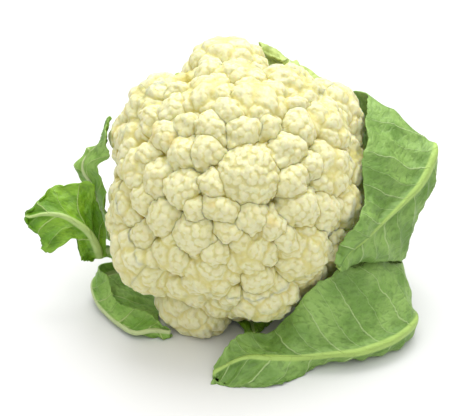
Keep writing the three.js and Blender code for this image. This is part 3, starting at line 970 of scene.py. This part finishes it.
# %% Stalk material
RIND = [(0.34, 0.47, 0.14, 1), (0.58, 0.66, 0.36, 1)]
RIND_AT_CUT = (0.36, 0.48, 0.15, 1)
SCAR_TINT = (0.44, 0.40, 0.18, 1)
PITH = [(0.66, 0.68, 0.42, 1), (0.74, 0.75, 0.52, 1)]
FIBRE_TINT = (0.56, 0.52, 0.24, 1)
FIBRE_STRENGTH = 0.7
# How often streaks and rays come, and the values where each mask shows in full and where it is gone.
STREAKS = (0.9, 0.06)
STREAK_LIMITS = (0.62, 0.38)
RAYS = 9.0
RAYS_BEND_RING = 1.5
RING_LIMITS = (1.2, 3.2)
RIM_LIMITS = (STALK_RADIUS - 1.0, STALK_RADIUS - 3.5)
STALK_GRAIN = 0.0009
STALK_BUMP = (0.5, 0.0006)


def stalk_material():
    material, build, shader = new_material("Stalk", 0.55)
    across, along, radius = build.split(kept(build, "rolled", "Vector"))
    drawn_out = [build.times(length, often) for length, often in zip((across, along), STREAKS)]
    streak = build.noise(build.combine(*drawn_out, 0.0), 1.0, 4.0)
    side = mixed(build, fading(build, streak, *STREAK_LIMITS), *RIND)
    side = mixed(build, kept(build, "scar"), side, SCAR_TINT)
    turn = build.over(across, build.math("MAXIMUM", radius, 1.0))
    rays = build.noise(build.combine(turn, 0.0, 0.0), RAYS, 3.0)
    from_ring = build.math("ABSOLUTE", build.minus(radius, FIBRE_RING))
    ring = fading(build, build.math("MULTIPLY_ADD", rays, RAYS_BEND_RING, from_ring), *RING_LIMITS)
    inside = fading(build, radius, *RIM_LIMITS)
    face = mixed(build, inside, RIND_AT_CUT, mixed(build, rays, *PITH))
    face = mixed(build, build.times(ring, FIBRE_STRENGTH), face, FIBRE_TINT)
    build.feed(shader["Base Color"], mixed(build, kept(build, "cut"), side, face))
    cells = grain_of(build, STALK_GRAIN)[0]
    relief = build.math("MULTIPLY_ADD", streak, 1.2, build.times(cells, 0.5))
    build.feed(shader["Normal"], bump(build, relief, *STALK_BUMP))
    return material


add_piece("stalk_fine", stalk, "stalk", stalk_material())

# %% [markdown]
# ## Leaves
# A leaf is a thin blade on a thick midrib that runs up from the stalk. Three curves give its run: the rib
# and the blade's two edges, each through a few stations. The blade between them bellies out, waves towards
# its margin and is quilted between its side veins. These are the CAD model's stations, on a much finer grid.

# %% Curves through stations
BLADE = 1.6
LEAF_CLEARANCE = 3.0
STEM_OUT = STALK_RADIUS + 0.2


def along_curve(stations, shares):
    """Points at shares, 0 to 1, of a smooth curve that passes evenly through its stations."""
    padded = np.vstack([2 * stations[0] - stations[1], stations, 2 * stations[-1] - stations[-2]])
    run = shares * (len(stations) - 1)
    start = np.minimum(run.astype(int), len(stations) - 2)
    t = (run - start)[:, None]
    before, first, second, after = (padded[start + step] for step in range(4))
    leaving = (second - before) / 2
    arriving = (after - first) / 2
    bend = 2 * first - 2 * second + leaving + arriving
    sweep = 3 * second - 3 * first - 2 * leaving - arriving
    return first + leaving * t + sweep * t**2 + bend * t**3


def clear_of_curd(points):
    """The points moved straight out from the curd's middle until they clear its florets."""
    away = points - CURD_CENTRE
    distance = np.linalg.norm(away, axis=-1, keepdims=True)
    direction = away / distance
    reach = np.zeros(distance.shape)
    for floret in florets:
        centre = floret["centre"]
        ahead = direction @ centre
        inside = ahead**2 - centre @ centre + (floret["radius"] + LEAF_CLEARANCE) ** 2
        exit_at = np.where(inside > 0, ahead + np.sqrt(np.maximum(inside, 0)), 0)
        reach = np.maximum(reach, exit_at[..., None])
    return CURD_CENTRE + direction * np.maximum(distance, reach)


def stem(bearing, out, along, half_width):
    """A station of a leaf's stem round the head's axis: its rib, its left edge and its right edge."""
    rib = round_head(bearing, out, along)
    half = half_width * aside_at(bearing + 90)
    return [*rib, *(rib + half), *(rib - half)]


print("a stem starts at", np.round(stem(8, STEM_OUT, -70, 6.5)[:3], 1))

# %% [markdown]
# ## The grid of a blade
# The grid has rows along the leaf and columns across it. Columns crowd over the midrib, so that it stands up
# round and firm. The stem keeps its plain section, and the notches, teeth and waves set in where the blade
# begins.

# %% Blade grid
ROW_STEP = 1.25
RIB_COLUMNS = 5
BLADE_COLUMNS = 26
FOOT_MOST = 0.8
RIB_AT_TIP = 0.8
RIB_RISE = 0.45
RIB_RISE_AT_TIP = 0.5
STEM_SHARE = (0.25, 0.5)
NOTCH_FROM = 0.7
TEETH_FROM = 0.88
TOOTH = 1.1
TOOTH_GAP = 5.5
VEIN_GAP = 12.5
VEIN_SWEEP = 14
VEIN_TURNS = 9
VEIN_LEAN = (0.1, 0.005)


def half_blade(leaf, side, middle, span, shares, along_mm, rib_half):
    """Places and stored numbers for one half of the blade, in columns from the rib out to the edge."""
    outward = unit(middle - CURD_CENTRE)
    grown = smoothstep(shares, *STEM_SHARE)[:, None]
    width = np.linalg.norm(span, axis=1)[:, None]
    foot = np.minimum(FOOT_MOST, rib_half / width)
    on_rib = foot * np.linspace(0, 1, RIB_COLUMNS + 1)[None, :-1]
    on_blade = foot + (1 - foot) * np.linspace(0, 1, BLADE_COLUMNS + 1)[None, :]
    f = np.hstack([on_rib, on_blade])
    s = shares[:, None]
    cut = leaf["notch"] * grown * (0.5 + 0.5 * np.sin(leaf["notches"] * s * math.tau + 2 * side))
    tooth = np.abs(np.sin(math.pi * along_mm / TOOTH_GAP + side)) ** 0.7 - 1
    teeth = grown * TOOTH * tooth / np.maximum(width, 6)
    reach = f * (1 - cut * smoothstep(f, NOTCH_FROM, 1)) + teeth * smoothstep(f, TEETH_FROM, 1)
    wave = np.sin(leaf["waves"] * s * math.tau + 1.9 * side)
    lift = grown * (leaf["belly"] * 4 * f * (1 - f) + leaf["wave"] * f**2 * wave)
    place = middle[:, None] + span[:, None] * reach[..., None] + outward[:, None] * lift[..., None]
    across = f * width
    lead = VEIN_SWEEP * (1 - np.exp(-across / VEIN_TURNS))
    lead = lead + VEIN_LEAN[0] * across + VEIN_LEAN[1] * across**2
    phase = (along_mm - lead) / VEIN_GAP + 0.5 * side
    along = np.broadcast_to(along_mm, f.shape)
    return place, np.stack([along, across * (2 * side - 1), phase, across / rib_half, f], axis=-1)


def blade_grid(leaf):
    """Places of the whole blade's middle, and for each how far along, how far across and its vein values."""
    ribs, lefts, rights = np.array(leaf["stations"], dtype=float).reshape(-1, 3, 3).transpose(1, 0, 2)
    rough = along_curve(ribs, np.linspace(0, 1, 60))
    length = np.linalg.norm(np.diff(rough, axis=0), axis=1).sum()
    shares = np.linspace(0, 1, int(length / ROW_STEP) + 1)
    middle = along_curve(ribs, shares)
    steps = np.linalg.norm(np.diff(middle, axis=0), axis=1)
    along_mm = np.concatenate([[0], np.cumsum(steps)])[:, None]
    half = leaf["rib_width"] / 2
    rib_half = (half + (RIB_AT_TIP - half) * np.sqrt(shares))[:, None]
    halves = []
    for side, edges in enumerate((lefts, rights)):
        span = along_curve(edges, shares) - middle
        halves.append(half_blade(leaf, side, middle, span, shares, along_mm, rib_half))
    place, values = (np.concatenate([left[:, ::-1], right[:, 1:]], axis=1) for left, right in zip(*halves))
    rib_height = RIB_RISE * leaf["rib_width"] * (1 - np.sqrt(shares)) + RIB_RISE_AT_TIP * np.sqrt(shares)
    return clear_of_curd(place), values, rib_height[:, None], smoothstep(shares, *STEM_SHARE)[:, None]


print("a blade has", 2 * (RIB_COLUMNS + BLADE_COLUMNS) + 1, "columns")

# %% [markdown]
# ## From grid to blade
# The blade gets its thickness, its midrib, its raised veins and the quilting between them as real form,
# since light from low down shows them all. Two vectors are stored at each point for the finish: how far
# along and across the blade it lies, and where it is among the veins. They stay smooth between points, so
# veins can be drawn far finer than the grid.

# %% Blade mesh
RIB_ROUND = 1.15
MARGIN_THINNED = 0.35
RIM = 0.3
VEIN_HEIGHT = 0.45
VEIN_HALF = 1.1
QUILT = 1.5
QUILT_FADES = 0.25
BLADE_BEGINS = (1.0, 2.2)
SWELL = (1.7, 34.0, 5)
PUCKER = (0.45, 7.5, 6)


def blade_mesh(leaf):
    place, values, rib_height, grown = blade_grid(leaf)
    phase, ratio, edge = values[..., 2], values[..., 3], values[..., 4]
    aside = np.gradient(place, axis=1)
    normal = unit(np.cross(np.gradient(place, axis=0), aside))
    from_vein = np.abs(phase - np.round(phase)) * VEIN_GAP
    on_blade = smoothstep(ratio, *BLADE_BEGINS) * grown
    swell = one_noise(place, *SWELL) * on_blade
    pucker = one_noise(place, *PUCKER) * on_blade
    place = clear_of_curd(place + normal * swell[..., None])
    sunk = QUILT * np.abs(np.sin(math.pi * phase)) * on_blade
    quilt = pucker - sunk * smoothstep(1 - edge, 0, QUILT_FADES)
    vein = VEIN_HEIGHT * np.exp(-((from_vein / VEIN_HALF) ** 2)) * on_blade * (1 - edge)
    rib = rib_height * np.exp(-((ratio / RIB_ROUND) ** 2))
    half = BLADE / 2 - MARGIN_THINNED * smoothstep(edge, 0.5, 1)
    outer = place + normal * (quilt + vein + rib + half)[..., None]
    inner = place + normal * (quilt - half)[..., None]
    rim_left = place[:, :1] - RIM * unit(aside[:, :1])
    rim_right = place[:, -1:] + RIM * unit(aside[:, -1:])
    loop = np.concatenate([outer, rim_right, inner[:, ::-1], rim_left], axis=1)
    loop[..., 2] = np.maximum(loop[..., 2], 0.0)
    faces, number, after = tube_faces(*loop.shape[:2])
    for ring, first in ((number[0], True), (number[-1], False)):
        faces += end_cap(ring.tolist(), phase.shape[1], first)
    mesh = make_mesh(leaf["name"], loop.reshape(-1, 3), faces)
    numbers = np.concatenate([values, values[:, -1:], values[:, ::-1], values[:, :1]], axis=1).reshape(-1, 5)
    store(mesh, "blade", np.column_stack([numbers[:, :2], np.zeros(len(numbers))]))
    store(mesh, "veins", numbers[:, 2:])
    return mesh


def end_cap(ring, columns, first):
    """Quads that close one end of a blade between its outer and inner rows."""
    outer, inner = ring[:columns], ring[2 * columns : columns : -1]
    cap = [(outer[i], outer[i + 1], inner[i + 1], inner[i]) for i in range(columns - 1)]
    cap += [(outer[-1], ring[columns], inner[-1]), (ring[-1], outer[0], inner[0])]
    return cap if first else [face[::-1] for face in cap]


print("side veins stand", VEIN_HEIGHT, "mm high, the blade swells by up to", SWELL[0], "mm")

# %% [markdown]
# ## Veins, by rule
# Side veins leave the midrib at even gaps and curve towards the tip, and a faint net lies between them. They
# could be cut into the mesh, but drawn from its stored numbers they stay sharp at any distance. So one group
# of nodes serves every leaf, and each leaf material only chooses its colours.

# %% Shared effect: veins
NET_SIZE = 4.5
VEIN_WOBBLE = 0.5
VEIN_TAPER = 0.75
MINOR_THINNER = 0.4
MINOR_FAINTER = 0.45
CRINKLES = (3.0, 0.38)
# Each mask by the values where it shows in full and where it is gone.
MASKS = {
    "Veins": (0.3, 1.0),
    "Midrib": (0.7, 1.25),
    "Net": (0.0, 0.14),
    "Mottle": (0.62, 0.38),
    "Margin": (1.0, 0.86),
}


def leaf_veins_group():
    inputs = {"Vein gap": "Float", "Net size": "Float"}
    outputs = dict.fromkeys(("Midrib", "Veins", "Net", "Crinkle", "Mottle", "Margin"), "Float")
    build, given, wanted = new_group("ShaderNodeTree", "Leaf veins", inputs, outputs)
    blade = kept(build, "blade", "Vector")
    phase, ratio, edge = build.split(kept(build, "veins", "Vector"))
    wobble = build.noise(blade, 0.07, 2.0)
    bent = build.math("ADD", phase, build.math("MULTIPLY_ADD", wobble, VEIN_WOBBLE, -VEIN_WOBBLE / 2))
    whole = build.math("ROUND", bent)
    beside = build.math("ABSOLUTE", build.minus(bent, whole))
    # Every second vein is a minor one: 1 where the whole number is odd, and 0 where it is even.
    minor = build.math("ABSOLUTE", build.times(build.math("FRACT", build.times(whole, 0.5)), 2.0))
    distance = build.times(beside, given["Vein gap"])
    taper = build.math("MULTIPLY_ADD", edge, -VEIN_TAPER, 1.0)
    width = build.times(taper, build.math("MULTIPLY_ADD", minor, -MINOR_THINNER, 1.0))
    measured = {
        "Veins": build.over(distance, width),
        "Midrib": ratio,
        "Net": build.cells(blade, given["Net size"], "DISTANCE_TO_EDGE"),
        "Mottle": build.noise(blade, 0.04, 4.0, Roughness=0.6),
        "Margin": edge,
    }
    drawn = {name: fading(build, value, *MASKS[name]) for name, value in measured.items()}
    strength = build.math("MULTIPLY_ADD", minor, -MINOR_FAINTER, 1.0)
    drawn["Veins"] = build.times(drawn["Veins"], strength)
    lengths = (phase, build.split(blade)["Y"])
    folds = [build.times(length, often) for length, often in zip(lengths, CRINKLES)]
    drawn["Crinkle"] = build.noise(build.combine(*folds, 0.0), 1.0, 4.0, Distortion=0.6)
    for output, value in drawn.items():
        build.feed(wanted[output], value)
    return build.tree


leaf_veins = leaf_veins_group()
print("made", leaf_veins.name)

# %% [markdown]
# ## Leaf finish
# Cabbage-family leaves are matt and waxy, with a pale rib and side veins. The outermost are a dull green,
# and those that the others sheltered are paler and yellower. One function makes every leaf material from
# four colours: the blade's darkest and lightest, its side veins and its rib.

# %% Leaf materials
LEAF_FINISHES = {
    "Outer leaf": [0.5, (0.145, 0.285, 0.043), (0.26, 0.435, 0.095), (0.44, 0.60, 0.24), (0.40, 0.58, 0.13)],
    "Fresh leaf": [0.45, (0.10, 0.26, 0.002), (0.24, 0.46, 0.022), (0.42, 0.56, 0.18), (0.45, 0.60, 0.20)],
    "Young leaf": [0.5, (0.16, 0.34, 0.03), (0.30, 0.50, 0.10), (0.50, 0.62, 0.24), (0.54, 0.64, 0.30)],
    "Pale leaf": [0.5, (0.42, 0.55, 0.12), (0.52, 0.64, 0.20), (0.60, 0.70, 0.32), (0.62, 0.72, 0.36)],
}
# Painted shade in the crinkle folds: how far it darkens the deep green, and where the crinkle shows it.
FOLD_SHADE_DARKENS = 0.55
FOLD_SHADE_LIMITS = (0.36, 0.52)
LEAF_GRAIN = 0.0007
LEAF_BUMP = (0.7, 0.001)


def leaf_material(name, roughness, *colours):
    material, build, shader = new_material(name, roughness)
    deep, light, vein_colour, rib_colour = ((*colour, 1) for colour in colours)
    fold_shade = (*(FOLD_SHADE_DARKENS * value for value in colours[0]), 1)
    sizes = {"Vein gap": VEIN_GAP, "Net size": NET_SIZE}
    drawn = build.node("ShaderNodeGroup", sizes, node_tree=leaf_veins).outputs
    colour = mixed(build, drawn["Mottle"], deep, light)
    # The crinkle folds get painted shade, the deep green darkened further.
    folds = fading(build, drawn["Crinkle"], *FOLD_SHADE_LIMITS)
    for mask, strength, tint in (
        (folds, 0.4, fold_shade),
        (drawn["Net"], 0.06, vein_colour),
        (drawn["Margin"], 0.3, light),
        (drawn["Veins"], 0.75, vein_colour),
        (drawn["Midrib"], 1.0, rib_colour),
    ):
        colour = mixed(build, build.times(mask, strength), colour, tint)
    build.feed(shader["Base Color"], colour)
    cells = grain_of(build, LEAF_GRAIN)[0]
    relief = build.math("MULTIPLY_ADD", drawn["Crinkle"], 1.6, build.times(drawn["Veins"], 0.6))
    relief = build.math("MULTIPLY_ADD", cells, 0.1, relief)
    build.feed(shader["Normal"], bump(build, relief, *LEAF_BUMP))
    return material


outer, fresh, young, pale = (leaf_material(name, *finish) for name, finish in LEAF_FINISHES.items())
print("made", ", ".join(LEAF_FINISHES))

# %% [markdown]
# ## The leaves of this head
# Each leaf has the stem's stations first, round the head's axis, and then its blade's. A station is three
# places in a row, each with its x, y and z: on the rib, on the left edge and on the right edge. The two
# large outer leaves fall away to the right, paler inner ones stand behind the curd, and small torn ones curl
# out on the left. The stubs of trimmed leaves are short stems without a blade.

# %% Stations
LEAVES = []


def add_leaf(name, slot, material, stations, **form):
    usual = {"rib_width": 10, "belly": 2, "wave": 2, "waves": 4, "notch": 0.08, "notches": 7}
    LEAVES.append({**usual, **form, "name": name, "slot": slot, "material": material, "stations": stations})


right_upper = [
    stem(8, STEM_OUT, -70, 6.5),
    stem(9, 50, -62, 12),
    stem(10, 86, -40, 26),
    (110, 24, 90, 73, 43, 124, 105, -3, 52),
    (123, 5, 105, 84, 25, 132, 121, 2, 84),
    (114, -12, 92, 78, 2, 128, 121, -5, 80),
    (104, -22, 85, 75, -20, 120, 115, -15, 66),
    (88, -38, 78, 77, -37, 98, 105, -26, 44),
    (74, -52, 72, 70, -51, 88, 86, -44, 53),
    (66, -58, 69, 64, -59, 78, 70, -56, 58),
    (59, -64, 62, 58, -64, 65, 60, -64, 60),
]
add_leaf(
    "leaf_right_upper", "outer_leaf", outer, right_upper, rib_width=13, belly=3, notch=0.06, notches=9
)
right_lower = [
    stem(-38, STEM_OUT, -74, 6),
    stem(-39, 50, -66, 9),
    stem(-39, 84, -46, 18),
    (88, -18, 9, 93, 12, 34, 95, -30, 2),
    (110, -44, 14, 105, -20, 37, 112, -41, 2),
    (98, -66, 14, 92, -34, 48, 102, -56, 1),
    (75, -79, 13, 68, -48, 56, 76, -71, 1),
    (57, -82, 13, 52, -63, 55, 58, -73, 1),
    (40, -83, 12, 38, -68, 40, 44, -82, 1),
    (21, -84, 11, 22, -62, 18, 24, -99, 1),
    (5, -83, 10, 2, -68, 14, 2, -100, 1),
    (-13, -87, 3, -12, -83, 5, -13, -91, 2),
]
add_leaf(
    "leaf_right_lower", "outer_leaf", outer, right_lower, rib_width=13, belly=4, notch=0.07, notches=10
)
left = [
    stem(210, STEM_OUT, -74, 4),
    stem(212, 54, -63, 6),
    stem(211, 84, -43, 7),
    (-81, 2, 31, -79, -3, 29, -84, 6, 33),
    (-86, -9, 36, -82, -9, 38, -90, -10, 33),
    (-87, -14, 44, -83, -6, 53, -93, -18, 37),
    (-91, -17, 57, -84, -4, 70, -98, -21, 43),
    (-98, -18, 65, -87, -4, 83, -102, -22, 55),
    (-107, -18, 70, -99, -5, 87, -112, -28, 48),
    (-117, -18, 71, -112, -8, 85, -120, -26, 54),
    (-125, -18, 69, -124, -12, 76, -126, -23, 63),
    (-128, -17, 69, -128, -16, 71, -128, -19, 67),
]
add_leaf("leaf_left", "leaf", fresh, left)
left_lower = [
    stem(233, STEM_OUT, -78, 4),
    stem(232, 52, -69, 7),
    (-70, 16, 8, -57, 14, 2, -75, 16, 15),
    (-87, 4, 10, -50, 6, 1.2, -87, 4, 20),
    (-91, -7, 11, -44, -4, 1.2, -87, -7, 23),
    (-88, -18, 6, -42, -14, 1.2, -83, -14, 21),
    (-81, -30, 5, -45, -22, 1.2, -77, -21, 16),
    (-72, -42, 5, -47, -31, 1.2, -70, -31, 13),
    (-62, -51, 5, -46, -41, 1.2, -61, -37, 12),
    (-51, -50, 6, -45, -47, 1.2, -51, -41, 10),
    (-40, -49, 5, -39, -50, 2, -40, -46, 7),
]
add_leaf("leaf_left_lower", "leaf", young, left_lower, rib_width=11, waves=3, notches=5)
left_upper = [
    stem(189, STEM_OUT, -69, 4),
    stem(193, 54, -56, 6),
    stem(198, 83, -35, 6),
    (-84, 4, 44, -81, -3, 45, -86, 9, 44),
    (-84, 2, 60, -79, -8, 60, -86, 6, 61),
    (-85, 0, 73, -78, -10, 70, -87, 4, 74),
    (-88, 1, 83, -82, -6, 88, -91, 2, 79),
    (-93, 4, 89, -82, -4, 97, -98, 6, 81),
    (-93, 6, 95, -79, -5, 103, -98, 8, 88),
    (-88, 8, 101, -76, -5, 110, -92, 10, 95),
    (-81, 9, 108, -74, -3, 117, -84, 10, 103),
    (-76, 9, 117, -73, 3, 121, -78, 10, 115),
    (-75, 8, 123, -74, 7, 124, -76, 9, 122),
]
add_leaf("leaf_left_upper", "leaf", young, left_upper, rib_width=9)
top = [
    stem(66, STEM_OUT, -68, 6),
    stem(66, 54, -56, 8),
    stem(66, 82, -28, 18),
    stem(66, 86, -10, 24),
    (34, 45, 145, 15, 46, 157, 58, 37, 127),
    (34, 40, 141, 16, 43, 155, 54, 34, 130),
]
add_leaf("leaf_top", "pale_leaf", pale, top, wave=1.5, waves=3, notch=0.06, notches=5)
top_left = [
    stem(119, STEM_OUT, -68, 5),
    stem(119, 54, -56, 8),
    stem(119, 79, -32, 12),
    stem(119, 81, -18, 8),
    (-37, 46, 134, -40, 46, 132, -35, 46, 134),
]
add_leaf("leaf_top_left", "pale_leaf", pale, top_left, rib_width=9, wave=1.5, waves=3, notch=0.06, notches=5)
under = [
    stem(270, STEM_OUT, -74, 4),
    (2, 20, 4, 10, 20, 5, -6, 20, 4),
    (6, -8, 1, 20, -8, 1, -8, -8, 1),
    (10, -32, 1, 24, -32, 1, -2, -32, 1),
    (12, -46, 1, 15, -46, 1, 9, -46, 1),
]
add_leaf("leaf_under", "leaf", fresh, under, rib_width=8, belly=0, wave=1, waves=3, notch=0.06, notches=4)
for number, bearing in enumerate((38, 146, 294), start=1):
    stub = [stem(bearing, STEM_OUT, -72, 4.5), stem(bearing, 38, -68, 6), stem(bearing, 52, -60, 6.5)]
    add_leaf(f"leaf_stub_{number}", "pale_leaf", pale, stub, rib_width=12, belly=0, wave=0, notch=0)
print(len(LEAVES), "leaves and stubs")

# %% [markdown]
# ## Growing the leaves
# Every leaf and stub goes through the same blade mesh, so they differ only in what is written above.

# %% Leaf pieces
for leaf in LEAVES:
    add_piece(leaf["name"] + "_fine", blade_mesh(leaf), leaf["name"], leaf["material"])

# %% [markdown]
# ## Stage
# A plain white surface, a broad light overhead, a weak one in front that opens the creases, and a pale room
# that is brighter above than at its sides. So the curd is brightest on top and falls away softly below, and
# only a faint shadow lies under the leaves.

# %% Floor, light and camera
LOOK_AT = in_frame([-3.1, -6.6, 68.6])
CAMERA_LIFT = math.radians(30)
CAMERA_AWAY = 0.72
LENS = 90.0
FLOOR_SIZE = 6.0
FLOOR_WHITE = (0.76, 0.76, 0.76, 1)


def lay_floor():
    bpy.ops.mesh.primitive_plane_add(size=FLOOR_SIZE)
    floor = bpy.context.object
    floor.name = "floor"
    material, build, shader = new_material("Pale floor", 0.8)
    shader["Base Color"].default_value = FLOOR_WHITE
    floor.data.materials.append(material)


def light_room(horizon, zenith):
    world = bpy.data.worlds.new("Studio")
    bpy.context.scene.world = world
    world.use_nodes = True
    build = Tree(world.node_tree)
    height = build.split(build.node("ShaderNodeTexCoord").outputs["Generated"])["Z"]
    above = build.math("MAXIMUM", height, 0.0)
    room = world.node_tree.nodes["Background"].inputs
    build.feed(room["Strength"], build.math("MULTIPLY_ADD", above, zenith - horizon, horizon))
    room["Color"].default_value = (1, 1, 1, 1)


def hang_light(name, place, size, power):
    light = linked(name, bpy.data.lights.new(name, "AREA"))
    light.data.size = size
    light.data.energy = power
    light.location = place
    light.rotation_euler = (Vector(LOOK_AT) - Vector(place)).to_track_quat("-Z", "Y").to_euler()


def place_camera():
    camera = linked("camera", bpy.data.cameras.new("camera"))
    camera.data.lens = LENS
    back = np.array([0.0, -math.cos(CAMERA_LIFT), math.sin(CAMERA_LIFT)])
    camera.location = LOOK_AT + back * CAMERA_AWAY
    camera.rotation_euler = (math.pi / 2 - CAMERA_LIFT, 0, 0)
    bpy.context.scene.camera = camera


lay_floor()
light_room(horizon=0.13, zenith=1.35)
hang_light("overhead", (0.1, 0.4, 1.1), 0.9, 10)
hang_light("front", (0.05, -0.7, 0.95), 0.9, 2.3)
place_camera()
bpy.context.scene.view_settings.view_transform = "Standard"
print("camera at", bpy.context.scene.camera.location)

# %% [markdown]
